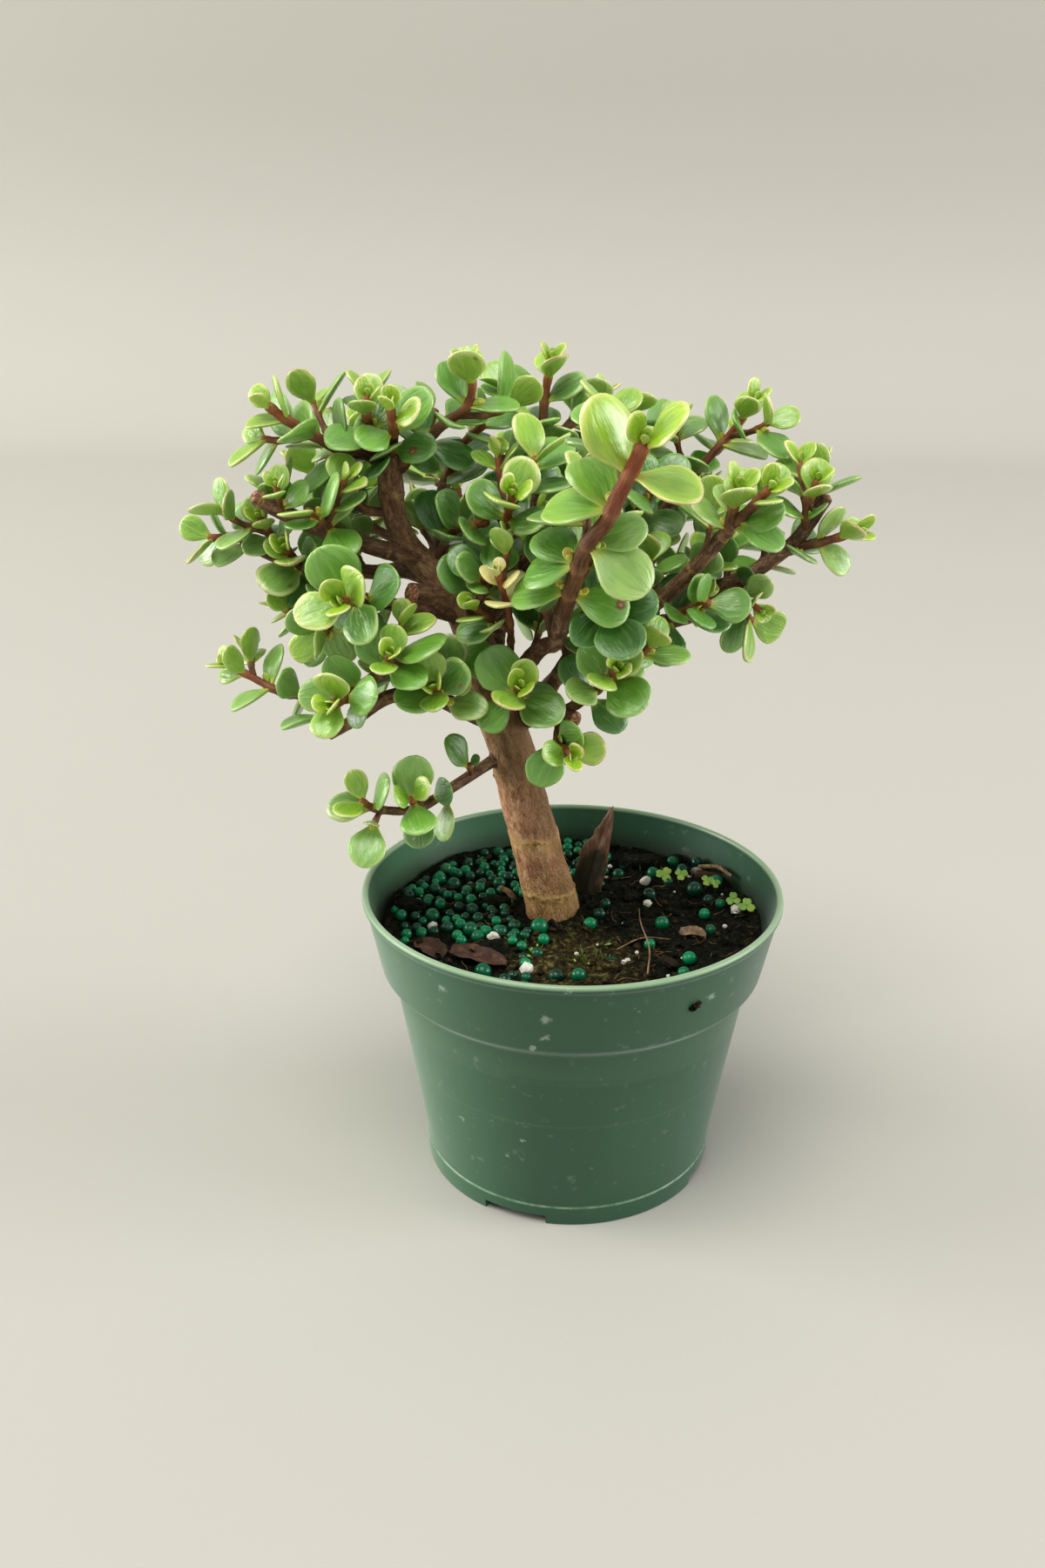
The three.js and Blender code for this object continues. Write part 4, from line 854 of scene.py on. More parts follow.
def leaf_pattern():
    """Along, sideways share and height share of each point of a leaf, the base and the tip last."""
    turns = circle(LEAF_SIDES)
    along = np.repeat(LEAF_RINGS, LEAF_SIDES)
    across = np.tile(np.cos(turns), len(LEAF_RINGS))
    height = np.tile(np.sin(turns), len(LEAF_RINGS))
    return np.append(along, [0, LEAF_END]), np.append(across, [0, 0]), np.append(height, [0, 0])


PATTERN = leaf_pattern()
PATTERN_FACES = ring_faces(len(LEAF_RINGS), LEAF_SIDES)


def add_leaf(shape, leaf, age, draw):
    """One thick leaf with a creased, cupped face and a slightly wavy outline."""
    along, across, height = PATTERN
    size, width = leaf["length"], leaf["width"]
    seed = draw.next()
    phase = draw.between(0, 6.3)
    wave = 1 + 0.03 * np.sin(7 * along + phase) + 0.02 * np.sin(3 * across + 11 * along + 2 * phase)
    half = fine_half_width(along) * width * wave
    full = 0.062 * size + 0.15
    body = np.clip(2 * fine_half_width(along), 0, 1)
    thick = np.where(along < LEAF_MIDDLE, 0.45 * (1 - body) + full * body**0.7, full * body**0.7)
    cup = draw.between(-0.06, 0.24)
    arch = draw.between(0.02, 0.16)
    crease = 0.16 * (1 - age * 0.5) * np.exp(-((across / 0.25) ** 2)) * np.clip(4 * along * (1 - along), 0, 1)
    up = thick * height + cup * across**2 * half - arch * size * (along - 0.35) ** 2 * (along > 0.2)
    up = up - np.where(height > 0.5, crease, 0)
    sway = draw.spread(0.05) * size * along**2
    points = (
        leaf["base"]
        + np.outer(along * size, leaf["way"])
        + np.outer(half * across + sway, leaf["side"])
        + np.outer(up, leaf["face"])
    )
    points = inside_box(points, leaf["base"])
    beyond = np.clip((along - LEAF_MIDDLE) / LEAF_REACH, 0, 1)
    rim = np.sqrt(beyond**2 + (across**2) * (1 - beyond**2))
    under = np.clip(0.5 - 2 * height, 0, 1)
    values = dict(along=along, across=across, rim=rim, under=under, age=age, seed=seed)
    shape.add(points, PATTERN_FACES, 0, **values)


def inside_box(points, base):
    """The same points, drawn towards the base where they would pass the solids' whole box."""
    share = 1.0
    for axis in range(3):
        most, least = points[:, axis].max(), points[:, axis].min()
        if most > HIGH[axis] and most > base[axis]:
            share = min(share, (HIGH[axis] - base[axis]) / (most - base[axis]))
        if least < LOW[axis] and least < base[axis]:
            share = min(share, (base[axis] - LOW[axis]) / (base[axis] - least))
    return base + (points - base) * share


def add_bud(shape, node, turn, size, splay, draw, age=0.0):
    """A pair of tiny leaves that are still folded together."""
    for side in (0, 180):
        angle = math.radians(turn + side)
        opening = math.radians(splay + draw.spread(5))
        leaf = leaf_at(node, angle, opening, size * draw.between(0.85, 1.15), 0.72, 0)
        add_leaf(shape, leaf, age, draw)


# ---- fine stems ----

STEM_STEP = 1.5
FINE_STEM_SIDES = 12


def add_stem(shape, line, thick, thin, nodes, seed):
    """A soft stem that swells a little at each pair of leaves, with a ring below the swelling."""
    fine, reached = resampled(line, STEM_STEP)
    share = reached / reached[-1]
    radii = thick + (thin - thick) * share
    gaps = np.abs(reached[:, None] - np.array(nodes)[None]).min(axis=1)
    swelling = np.exp(-((gaps / 1.2) ** 2))
    radii = radii + 0.24 * swelling - 0.1 * np.exp(-(((gaps - 2.4) / 0.9) ** 2))
    points, faces, rounds = tube(fine, radii, FINE_STEM_SIDES)
    along = np.append(np.repeat(reached, FINE_STEM_SIDES), [0, reached[-1]])
    bark = np.column_stack([rounds, along + 40 * seed])
    scar = np.append(np.repeat(swelling, FINE_STEM_SIDES), [0, 0])
    age = np.append(np.repeat(1 - share, FINE_STEM_SIDES), [1, 0])
    shape.add(points, faces, 1, bark=bark, scar=scar, age=age, seed=seed)


def dress(shape, stem, leaves, draw):
    """One stem with its leaves, a bud at its tip and buds in some of its axils."""
    name, points, thick, thin, _, spacing, roll, grown_length, options = stem
    line = centre_line(points)
    total = length_of(line)
    nodes = sorted({leaf["at"] for leaf in leaves} | {total - TIP_PAIR})
    first = nodes[0] - spacing
    while first > 1:
        nodes.insert(0, first)
        first -= spacing
    add_stem(shape, line, thick, thin, nodes, draw.next())
    for leaf in leaves:
        age = min(1.0, leaf["grown"] / 4 + draw.between(0, 0.12))
        # Painted shade: leaves of the inner stems are made older, so they take the darker colours of old
        # leaves.
        if name.startswith("inner"):
            age = min(1.3, age + INNER_SHADE)
        # The front stem's leaves keep only a share of their age, so they come out paler.
        if name == "front_arch":
            age *= FRONT_PALER
        if name == "cream_sprig":
            age = CREAM
        add_leaf(shape, leaf, age, draw)
    if not options.get("age"):
        tip, along = along_line(line, total)
        add_bud(shape, node_at(name, tip, along, 0.8, 0.3), roll + 90, 3.2 * grown_length / 14, 12, draw)
    share, most = (0.8, 4.4) if name == "front_arch" else (0.3, 3.2)
    for leaf in leaves:
        if leaf["grown"] >= 2 and draw.next() < share:
            way = unit(leaf["along"] * 0.8 + leaf["out"] * 0.62)
            start = leaf["base"] + leaf["out"] * 0.45 * thin + leaf["along"] * 1.1
            age = BUD if draw.next() < 0.6 else 0.05
            add_bud(shape, node_at(name, start, way, 0.5, 0.3), 90, draw.between(2.0, most), 20, draw, age)


def leafy_stems(paints):
    """One piece for each leafy node, and one for the short shoots between them."""
    grown, shoots = grow_plant()
    shapes = {}
    for index, (stem, leaves) in enumerate(grown):
        shape = shapes.setdefault(stem[0], Shape(*LEAF_VALUES, *STEM_VALUES))
        dress(shape, stem, leaves, Draws(DRESS_SEED + SEED_STEP * index))
    for name, shape in shapes.items():
        add_piece("fine_" + name, shape.mesh("fine_" + name, paints), "leaf", name)
    shape = Shape(*LEAF_VALUES, *STEM_VALUES)
    for index, (stem, leaves) in enumerate(shoots):
        dress(shape, stem, leaves, Draws(SHOOT_DRESS_SEED + SEED_STEP * index))
    add_piece("side_shoots", shape.mesh("side_shoots", paints), "leaf")


# ---- wood ----

WOOD_VOXEL = 0.6
CUT_LIMBS = ("stub", "limb_left", "limb_far_right", "knob")
TRUNK_SCARS = (93, 112.5, 133, 155)
LIMB_SCAR_SPACING = 13.0
LIMB_REACH = 14
SMOOTHINGS = 4


def remeshed(data, voxel):
    """A mesh joined from closed, overlapping parts into one even skin."""
    helper = in_scene("helper", data)
    modifier = helper.modifiers.new("skin", "REMESH")
    modifier.mode = "VOXEL"
    modifier.voxel_size = voxel * 0.001
    skin = meshed(helper)
    bpy.data.objects.remove(helper)
    return skin


def points_of(data):
    """A mesh's points in millimetres."""
    flat = np.empty(len(data.vertices) * 3, np.float32)
    data.vertices.foreach_get("co", flat)
    return flat.reshape(-1, 3).astype(float) * 1000


def smoothed(points, data, times):
    """The points, drawn halfway to the middle of their neighbours a few times."""
    edges = np.empty(len(data.edges) * 2, np.int32)
    data.edges.foreach_get("vertices", edges)
    edges = edges.reshape(-1, 2)
    counts = np.bincount(edges.ravel(), minlength=len(points))[:, None]
    for _ in range(times):
        total = np.zeros_like(points)
        np.add.at(total, edges[:, 0], points[edges[:, 1]])
        np.add.at(total, edges[:, 1], points[edges[:, 0]])
        points = 0.5 * points + 0.5 * total / counts
    return points


def rough(points):
    """Fractal noise of about -1 to 1 at each point."""
    return np.array([noise.fractal(Vector(p), 1.0, 2.0, 3) for p in points])


def limb_skin():
    """The trunk and its limbs in one skin, with each limb's own line, distances and radii."""
    shape = Shape()
    limbs = []
    for name, (points, radii) in LIMBS.items():
        _, line, widths = tube_of(name, points, radii)
        tube_points, faces, _ = tube(line, widths, 32 if name == "trunk" else 16)
        shape.add(tube_points, faces)
        fine, reached = resampled(line, 1.0)
        shares = reached / reached[-1]
        limbs.append((name, fine, reached, np.array([radius_at(radii, share) for share in shares])))
    return remeshed(shape.mesh("wood_parts", []), WOOD_VOXEL), limbs


def bark_places(points, limbs):
    """For each point of the skin: its place on the nearest limb's bark, and what that limb is like there."""
    count = len(points)
    gap_to = np.full(count, 1e9)
    bark, axis = np.zeros((count, 3)), np.zeros((count, 3))
    thick, scar, cut = np.zeros(count), np.zeros(count), np.zeros(count)
    for index, (name, fine, reached, widths) in enumerate(limbs):
        above = (points > fine.min(axis=0) - LIMB_REACH).all(axis=1)
        below = (points < fine.max(axis=0) + LIMB_REACH).all(axis=1)
        chosen = np.flatnonzero(above & below)
        gaps = np.linalg.norm(points[chosen, None] - fine[None], axis=2) - widths[None]
        nearest = gaps.argmin(axis=1)
        gap = gaps[np.arange(len(chosen)), nearest]
        better = gap < gap_to[chosen]
        chosen, nearest, gap = chosen[better], nearest[better], gap[better]
        gap_to[chosen] = gap
        along = np.gradient(fine, axis=0)
        along = (along / np.linalg.norm(along, axis=1)[:, None])[nearest]
        offset = points[chosen] - fine[nearest]
        across = np.cross(along, (0.1, 0.95, 0.2))
        across /= np.linalg.norm(across, axis=1)[:, None]
        step = (offset * along).sum(axis=1)
        distance = reached[nearest] + step
        bark[chosen, 0] = (offset * across).sum(axis=1)
        bark[chosen, 1] = (offset * np.cross(along, across)).sum(axis=1)
        bark[chosen, 2] = distance + 90 * index
        thick[chosen] = widths[nearest]
        axis[chosen] = fine[nearest]
        if name == "trunk":
            level = points[chosen, 2] + 2.2 * rough(points[chosen] * 0.13)
            rings = np.abs(level[:, None] - np.array(TRUNK_SCARS)[None]).min(axis=1) / 0.9
        else:
            rings = np.abs((distance + 5 * index) % LIMB_SCAR_SPACING - LIMB_SCAR_SPACING / 2) / 0.7
        scar[chosen] = np.exp(-(rings**2))
        cut[chosen] = (nearest == len(fine) - 1) & (step > 0.15) & (name in CUT_LIMBS)
    return gap_to, bark, axis, thick, scar, cut


def fine_wood(paint):
    """The wood in one skin, with fissures along the grain and rings round old nodes."""
    data, limbs = limb_skin()
    points = smoothed(points_of(data), data, SMOOTHINGS)
    gap, bark, axis, thick, scar, cut = bark_places(points, limbs)
    out = points - axis
    out /= np.maximum(np.linalg.norm(out, axis=1), 0.1)[:, None]
    points += out * np.clip(-gap, 0, 0.5)[:, None]

    scale = np.clip(thick / 7, 0.25, 1.0)
    grain = rough(bark * np.array([0.34, 0.34, 0.09]))
    lumps = rough(bark * np.array([0.14, 0.14, 0.1]) + 7.3)
    flecks = np.abs(rough(bark * np.array([0.9, 0.9, 0.3])))
    partial = np.clip(0.55 + 1.6 * rough(bark * np.array([0.12, 0.12, 0.02])), 0.15, 1)
    lift = 0.15 * scale * grain + 0.4 * scale * lumps
    lift += scar * partial * (0.14 + 0.28 * scale) - 0.13 * flecks * scale
    points += out * (lift * (1 - cut))[:, None]
    data.vertices.foreach_set("co", (points * 0.001).astype(np.float32).ravel())
    values = {"thick": thick, "scar": scar * partial, "cut": cut, "crack": lift, "bark": bark}
    for key, numbers in values.items():
        give(data, key, numbers)
    data.polygons.foreach_set("use_smooth", np.full(len(data.polygons), True))
    data.materials.append(paint)
    data.update()
    add_piece("fine_trunk", data, "bark", "trunk")


# ---- materials of the plant ----


# Corky scars on two blades that face the camera.
LEAF_SCARS = [(11.6, -37.2, 196.6), (-46.4, -12, 233)]
# Colours from the middle of a blade to its rim: old (which also gives the inner stems' leaves their painted
# shade), deep green, soft green and young.
LEAF_RAMPS = [
    [(0.3, 54, 104, 38), (0.82, 66, 120, 46), (0.93, 92, 144, 66), (0.99, 142, 176, 98)],
    [(0.3, 112, 166, 58), (0.82, 128, 178, 72), (0.93, 142, 188, 86), (0.99, 190, 210, 126)],
    [(0.3, 148, 186, 94), (0.8, 166, 200, 110), (0.92, 188, 212, 132), (0.99, 220, 228, 162)],
    [(0.3, 152, 190, 42), (0.78, 172, 204, 58), (0.9, 212, 222, 112), (0.97, 240, 236, 168)],
]


def leaf_material():
    """Streaked green blades with paler rims: bright when young, with a few darker old ones and painted shade
    on the leaves of the inner stems.
    """
    paint = Paint("leaf_variegated", 0.36, 0.95)
    along, across, rim, under, age, seed = (paint.value(name) for name in LEAF_VALUES)
    shift = seed * 61.0
    beside = across * 3.4
    streaks = paint.noise(paint.join(beside, along, shift), 1.6, 4.0, 0.62)
    fine = paint.noise(paint.join(across * 9.0, along, shift), 2.2, 3.0, 0.6)
    patches = paint.noise(paint.join(beside, along * 3.0, shift), 0.9, 2.0)
    edge = rim + (streaks - 0.5) * 0.26 + (fine - 0.5) * 0.14 + seed.ease(0.72, 1.0, -0.03, 0.14)
    old, deep, soft, young = (paint.ramp(edge, *stops) for stops in LEAF_RAMPS)
    other = (seed * 7.31).maths("FRACT")
    fresh = age.ease(0.1, 0.55, 1.0, 0.0)
    age_and_shade = age + seed.ease(0.0, 1.0, -0.3, 0.3)
    spots = paint.cells(paint.join(across, along * 1.6, shift), 1.1) + (fine - 0.5) * 0.3
    colour = paint.layers(
        deep,
        (other.ease(0.4, 0.95), soft),
        # The dark old colours: old leaves, and the inner stems' leaves as painted shade.
        (age_and_shade.ease(0.6, 1.2, 0.0, 0.95), old),
        (fresh, young),
        (patches.ease(0.35, 0.7, 0.0, 0.26), (62, 116, 38)),
        (streaks.ease(0.5, 0.68, 0.0, 0.3) * rim.ease(0.2, 0.9, 1.0, 0.0), (172, 200, 112)),
        (age.ease(1.4, 1.6), (238, 228, 158)),
        (age.ease(-0.4, -0.1, 0.85, 0.0), (228, 212, 84)),
        (under * 0.4, paint.blend(fresh, (146, 182, 106), (184, 204, 98))),
        (along.ease(0.03, 0.28, 0.9, 0.0), (196, 204, 86)),
        (rim.ease(0.93, 1.0) * other.ease(0.72, 0.9) * age.ease(0.3, 0.7, 0.6, 0.1), (198, 110, 92)),
        (spots.ease(0.06, 0.15, 0.8, 0.0) * seed.ease(0.9, 0.93), (128, 82, 44)),
    )
    for spot in LEAF_SCARS:
        away = paint.distance(spot) + (fine - 0.5) * 0.0016
        scab = (away.ease(0.0011, 0.0017, 0.9, 0.0), (132, 74, 44))
        colour = paint.layers(colour, scab, (away.ease(0.0003, 0.0008, 0.8, 0.0), (190, 150, 108)))
    grain = paint.bump(paint.noise(paint.where(), 900.0, 2.0), 0.00015, 0.4)
    normal = paint.bump(streaks, 0.0004, 0.5, paint.bump(patches, 0.0012, 0.5, grain))
    paint.shader.inputs["Coat Weight"].default_value = 0.5
    paint.shader.inputs["Coat Roughness"].default_value = 0.3
    paint.shader.inputs["Subsurface Weight"].default_value = 0.12
    paint.shader.inputs["Subsurface Radius"].default_value = (0.5, 0.8, 0.2)
    paint.shader.inputs["Subsurface Scale"].default_value = 0.002
    return paint.finish(colour, normal, patches.ease(0.3, 0.7, 0.3, 0.44))


def stem_material():
    """Red brown near a stem's tip, darker and browner near its foot, with pale specks."""
    paint = Paint("stem_young", 0.5, 0.4)
    bark, age, scar, seed = paint.vector("bark"), paint.value("age"), paint.value("scar"), paint.value("seed")
    streaks = paint.noise(bark, (1.6, 1.6, 0.18), 3.0, 0.6)
    specks = paint.noise(bark, 2.6, 2.0)
    old = paint.ramp(streaks, (0.3, 70, 46, 32), (0.55, 108, 72, 48), (0.78, 142, 104, 68))
    colour = paint.layers(
        paint.ramp(streaks, (0.3, 124, 60, 42), (0.7, 156, 88, 56)),
        (age.ease(0.0, 0.6), old),
        (age.ease(0.0, 0.2, 0.6, 0.0) * seed.ease(0.3, 0.8), (166, 168, 84)),
        (scar * 0.4, (168, 126, 84)),
        (specks.ease(0.62, 0.72, 0.0, 0.4), (196, 170, 130)),
    )
    return paint.finish(colour, paint.bump(streaks, 0.0004, 0.5))


PINK_BARK = [(0.3, 128, 86, 62), (0.44, 180, 132, 100), (0.58, 214, 170, 134), (0.74, 238, 206, 172)]


def bark_material():
    """Grey brown on the limbs; pink brown on the trunk, with golden rings, moss and rust towards its foot,
    painted shade on its right side and painted shade in the bark's hollows.
    """
    paint = Paint("bark_weathered", 0.75, 0.3)
    bark = paint.vector("bark")
    thick, scar, cut, crack = (paint.value(name) for name in ("thick", "scar", "cut", "crack"))
    height = paint.coordinate("Z") * 1000.0
    right = paint.coordinate("X") * 1000.0 + height * 0.28
    streaks = paint.noise(bark, (0.6, 0.6, 0.24), 5.0, 0.68, 0.6)
    fibres = paint.noise(bark, (2.2, 2.2, 0.9), 4.0, 0.68)
    patches = paint.noise(paint.stretched(bark, (0.12, 0.12, 0.045), (3, 5, 2)), 1.0, 3.0, 0.55)
    flakes = paint.noise(bark, 1.5, 3.0, 0.6)

    def band(low, high):
        return height.ease(low, high) * height.ease(high - 1.0, high + 1.6, 1.0, 0.0)

    pink = paint.ramp(streaks, *PINK_BARK)
    upper = paint.ramp(streaks, (0.3, 104, 78, 56), (0.5, 158, 126, 92), (0.72, 196, 166, 130))
    olive = paint.ramp(fibres, (0.34, 96, 74, 40), (0.5, 164, 130, 68), (0.66, 212, 176, 106))
    grey = paint.ramp(streaks, (0.28, 62, 46, 36), (0.5, 116, 88, 68), (0.72, 172, 140, 112))
    wound = paint.ramp(flakes, (0.36, 96, 62, 44), (0.5, 150, 106, 78), (0.66, 202, 166, 132))
    low = height.ease(88.0, 118.0, 0.1, -0.16) + right.ease(16.0, 27.0, -0.05, 0.1)
    mossy = patches + low + flakes.ease(0.36, 0.64, -0.2, 0.16)
    foot = right.ease(10.0, 14.5, 0.75, 0.0) * height.ease(83.0, 92.0, 1.0, 0.0)
    below_rings = largest(band(104.0, 112.6), band(84.0, 93.0))
    trunk = paint.layers(
        pink,
        (height.ease(128.0, 134.0, 0.0, 0.75), upper),
        (mossy.ease(0.46, 0.6, 0.0, 0.85), olive),
        # Painted shade: darker olive brown down the trunk's right side, away from the light.
        (right.ease(13.0, 25.0, 0.0, 0.75) * patches.ease(0.3, 0.55, 0.45, 1.0), (112, 86, 54)),
        (foot * flakes.ease(0.38, 0.6, 1.0, 0.4), (118, 76, 50)),
        (below_rings * patches.ease(0.4, 0.6, 0.6, 0.1), (206, 172, 108)),
        (band(94.0, 108.0) * fibres.ease(0.56, 0.64), (150, 84, 46)),
        (patches.ease(0.56, 0.66, 0.0, 0.55) * flakes.ease(0.4, 0.55, 0.2, 1.0), (92, 66, 46)),
    )
    colour = paint.layers(
        grey,
        (thick.ease(2.6, 5.0), trunk),
        (fibres.ease(0.34, 0.5, 0.55, 0.0), (92, 58, 40)),
        # Painted shade: darker where the bark lies lowest, in its fissures and hollows.
        (crack.ease(-0.5, -0.1, 0.5, 0.0), (70, 50, 38)),
        (flakes.ease(0.6, 0.72, 0.0, 0.5), (186, 168, 142)),
        (scar.ease(0.1, 0.8) * flakes.ease(0.3, 0.6, 0.1, 0.6), (196, 164, 98)),
        (scar.ease(0.75, 1.0) * flakes.ease(0.45, 0.6, 0.9, 0.2), (84, 58, 40)),
        (cut, wound),
    )
    normal = paint.bump(fibres, 0.0005, 0.6, paint.bump(streaks, 0.0006, 0.4))
    return paint.finish(colour, normal, flakes.ease(0.3, 0.7, 0.55, 0.8))


# ---- pot ----

POT_SEGMENTS = 160
SHARP_CORNER = 32
SCRAP_SEED = 31
# Radius, height and corner of the turned pot, from the middle below, up the outside and down the inside.
PROFILE = [
    (0, 0, 0), (PAD_RADIUS, 0, 0.7), (PAD_RADIUS + 1.5, FLOOR_BELOW, 0.7),
    (FOOT_RADIUS - 2.2, FLOOR_BELOW, 0.6), (FOOT_RADIUS - 1.9, 0, 0.6), (FOOT_RADIUS - 0.2, 0, 0.6),
    (FOOT_RADIUS, FOOT_HEIGHT, 0.35), (FOOT_RADIUS - 0.4, FOOT_HEIGHT + 0.4, 0.3),
    (BODY_TOP_RADIUS, BODY_TOP, 1.1), (BODY_TOP_RADIUS + SHOULDER, BAND_BOTTOM, 1.0),
    (RIM_RADIUS - 1.2, BAND_TOP, 0.8), (RIM_RADIUS, BAND_TOP + 1.4, 0.8),
    (RIM_RADIUS - 0.5, POT_HEIGHT, 1.0), (RIM_RADIUS - LIP + 0.3, POT_HEIGHT, 0.9),
    (RIM_RADIUS - LIP, BAND_TOP + 1, 0.8), (BODY_TOP_RADIUS + SHOULDER - WALL, BAND_BOTTOM, 1.2),
    (BODY_TOP_RADIUS - WALL, BODY_TOP + 0.4, 1.2), (FOOT_RADIUS - 1.7, FLOOR_TOP, 1.0), (0, FLOOR_TOP, 0),
]
CORNER_STEPS = 5
BAND_SLOPE = 0.2083
# Chalky marks on the pot's front: a direction with a height, and a size.
POT_MARKS = [
    ((-6.3, -62.6, 83.4), 1.3), ((-6.2, -60.6, 77.0), 0.8), ((-10.0, -58.6, 72.2), 0.9),
    ((-36.2, -52.7, 86.6), 0.9), ((-1.0, -66.2, 94.0), 0.8), ((19.2, -60.7, 85.8), 0.7),
    ((40.6, -48.5, 84.4), 0.9), ((-31.9, -38.2, 33.4), 0.3), ((-13.5, -47.8, 32.9), 0.35),
    ((-18.2, -45.0, 25.5), 0.35),
]
# Worn lines round the pot, then a painted highlight at the foot: height, width and strength.
POT_LINES = [(BAND_BOTTOM - 0.3, 0.9, 0.16), (57.0, 1.6, 0.04), (40.0, 0.8, 0.05), (FOOT_HEIGHT, 0.55, 0.45)]
POT_SCRAP = (35.6, -51.9, 83.3)


def rounded(profile):
    """The profile's points, with each corner replaced by a short arc of its own size."""
    points = []
    for i, (radius, height, corner) in enumerate(profile):
        here = np.array([radius, height], float)
        if corner == 0:
            points.append(here)
            continue
        before = np.array(profile[i - 1][:2]) - here
        after = np.array(profile[i + 1][:2]) - here
        start = here + before * min(0.45, corner / np.linalg.norm(before))
        stop = here + after * min(0.45, corner / np.linalg.norm(after))
        for step in range(CORNER_STEPS):
            t = step / (CORNER_STEPS - 1)
            points.append((1 - t) ** 2 * start + 2 * t * (1 - t) * here + t**2 * stop)
    return points


def on_wall(x, y, z, lift=0.0):
    """The place on the pot's outside at one height, in the direction of x and y."""
    outside = PROFILE[6:12]
    radius = float(np.interp(z, [row[1] for row in outside], [row[0] for row in outside])) + lift
    return np.array([x, y, 0]) * radius / math.hypot(x, y) + np.array([0, 0, z])


def ring_block(inner, outer, middle, width, low, high):
    """A closed block over part of a ring, upright between two heights."""
    shape = Shape()
    steps = 8
    angles = np.radians(np.linspace(middle - width / 2, middle + width / 2, steps + 1))
    corners = [(inner, low), (outer, low), (outer, high), (inner, high)]
    points = [(r * math.cos(a), r * math.sin(a), z) for a in angles for r, z in corners]
    faces = [(0, 1, 2, 3), tuple(4 * steps + i for i in (3, 2, 1, 0))]
    for k in range(steps):
        for i in range(4):
            j = (i + 1) % 4
            faces.append((4 * k + i, 4 * k + 4 + i, 4 * k + 4 + j, 4 * k + j))
    shape.add(points, faces)
    return shape


def cut_from(data, blocks):
    """A mesh less each of the blocks."""
    body = in_scene("body", data)
    cutters = []
    for block in blocks:
        cutters.append(in_scene("cutter", block.mesh("cutter", [], False)))
        modifier = body.modifiers.new("cut", "BOOLEAN")
        modifier.operation = "DIFFERENCE"
        modifier.solver = "EXACT"
        modifier.object = cutters[-1]
    result = meshed(body)
    for helper in [body, *cutters]:
        bpy.data.objects.remove(helper)
    return result


def fine_pot(paint):
    """The turned pot with its rounded corners, less the drain notches and the holes behind them."""
    profile = rounded(PROFILE)
    shape = Shape()
    rings = profile[1:-1]
    points = [(r * math.cos(a), r * math.sin(a), z) for r, z in rings for a in circle(POT_SEGMENTS)]
    points += [(0, 0, profile[0][1]), (0, 0, profile[-1][1])]
    shape.add(points, ring_faces(len(rings), POT_SEGMENTS))
    blocks = []
    for i in range(NOTCHES):
        middle = FIRST_NOTCH + 360 / NOTCHES * i
        blocks.append(ring_block(FOOT_RADIUS - 4, FOOT_RADIUS + 4, middle, NOTCH_WIDTH, -1, NOTCH_HEIGHT))
        inner, outer = FOOT_RADIUS - 9, FOOT_RADIUS - 3.6
        blocks.append(ring_block(inner, outer, middle, NOTCH_WIDTH - 5, -1, FLOOR_TOP + 1))
    data = cut_from(shape.mesh("pot_turned", []), blocks)
    data.polygons.foreach_set("use_smooth", np.full(len(data.polygons), True))
    data.set_sharp_from_angle(angle=math.radians(SHARP_CORNER))
    data.materials.append(paint)
    add_piece("fine_pot", data, "pot_plastic", "pot")


def pot_material():
    """Green plastic with painted light on its left side, worn lines, painted highlights on the lip and at the
    foot, chalky marks and a dirty inside.
    """
    paint = Paint("pot_green_plastic", 0.38, 0.55)
    paint.shader.inputs["Sheen Weight"].default_value = 0.3
    paint.shader.inputs["Sheen Roughness"].default_value = 0.35
    where, x, y = paint.where(), paint.coordinate("X"), paint.coordinate("Y")
    height = paint.coordinate("Z") * 1000.0
    radius = paint.node("VectorMath", {0: paint.join(x, y, 0.0)}, "Value", operation="LENGTH") * 1000.0
    cloud = paint.noise(where, 26.0, 3.0)
    dust = paint.noise(where, 240.0, 4.0, 0.65)
    scratch = paint.noise(where, (380, 380, 40), 3.0, 0.6)
    smudge = paint.noise(where, 330.0, 4.0, 0.7)
    fine = paint.noise(where, 1500.0, 2.0)
    outside = radius.ease(43.0, 44.0)
    inside = (radius - height * BAND_SLOPE).ease(45.5, 46.1, 1.0, 0.0)
    broken = scratch.ease(0.35, 0.6, 0.35, 1.0)
    lines = []
    for at, width, most in POT_LINES:
        lines.append((height - at).maths("ABSOLUTE").ease(0.0, width, most, 0.0) * broken)
    belt = height.ease(57.0, 59.0, 0.0, 0.04) * height.ease(68.0, 70.0, 1.0, 0.0)
    # Painted highlight: the top of the lip is painted paler all along the rim.
    lip = height.ease(BAND_TOP + 1.5, BAND_TOP + 2.6, 0.0, 0.7)
    chalk = dust.ease(0.6, 0.75, 0.0, 0.16) * outside
    for centre, size in POT_MARKS:
        away = paint.distance(on_wall(*centre)) + (smudge - 0.5) * 0.008
        chalk = largest(chalk, away.ease(size * 0.0002, size * 0.0016, 0.42, 0.0))
    colour = paint.layers(
        paint.blend(cloud, (42, 82, 58), (57, 96, 71)),
        # Painted light: the left side is paler, where the light falls.
        ((x - y * 0.35).ease(0.012, -0.05, 0.0, 0.42), (106, 150, 114)),
        # Worn lines and belt, with the painted highlights of the lip and of the line at the foot.
        (largest(largest(*lines) * outside, belt, lip), (164, 188, 152)),
        (chalk, (196, 204, 190)),
        (inside * (height.ease(84.0, 90.0, 0.5, 0.0) * height.ease(78.0, 79.0)), (58, 52, 40)),
    )
    normal = paint.bump(scratch, 0.00008, 0.25, paint.bump(fine, 0.00006, 0.3))
    return paint.finish(colour, normal, cloud.ease(0.3, 0.7, 0.34, 0.46))


# ---- soil ----

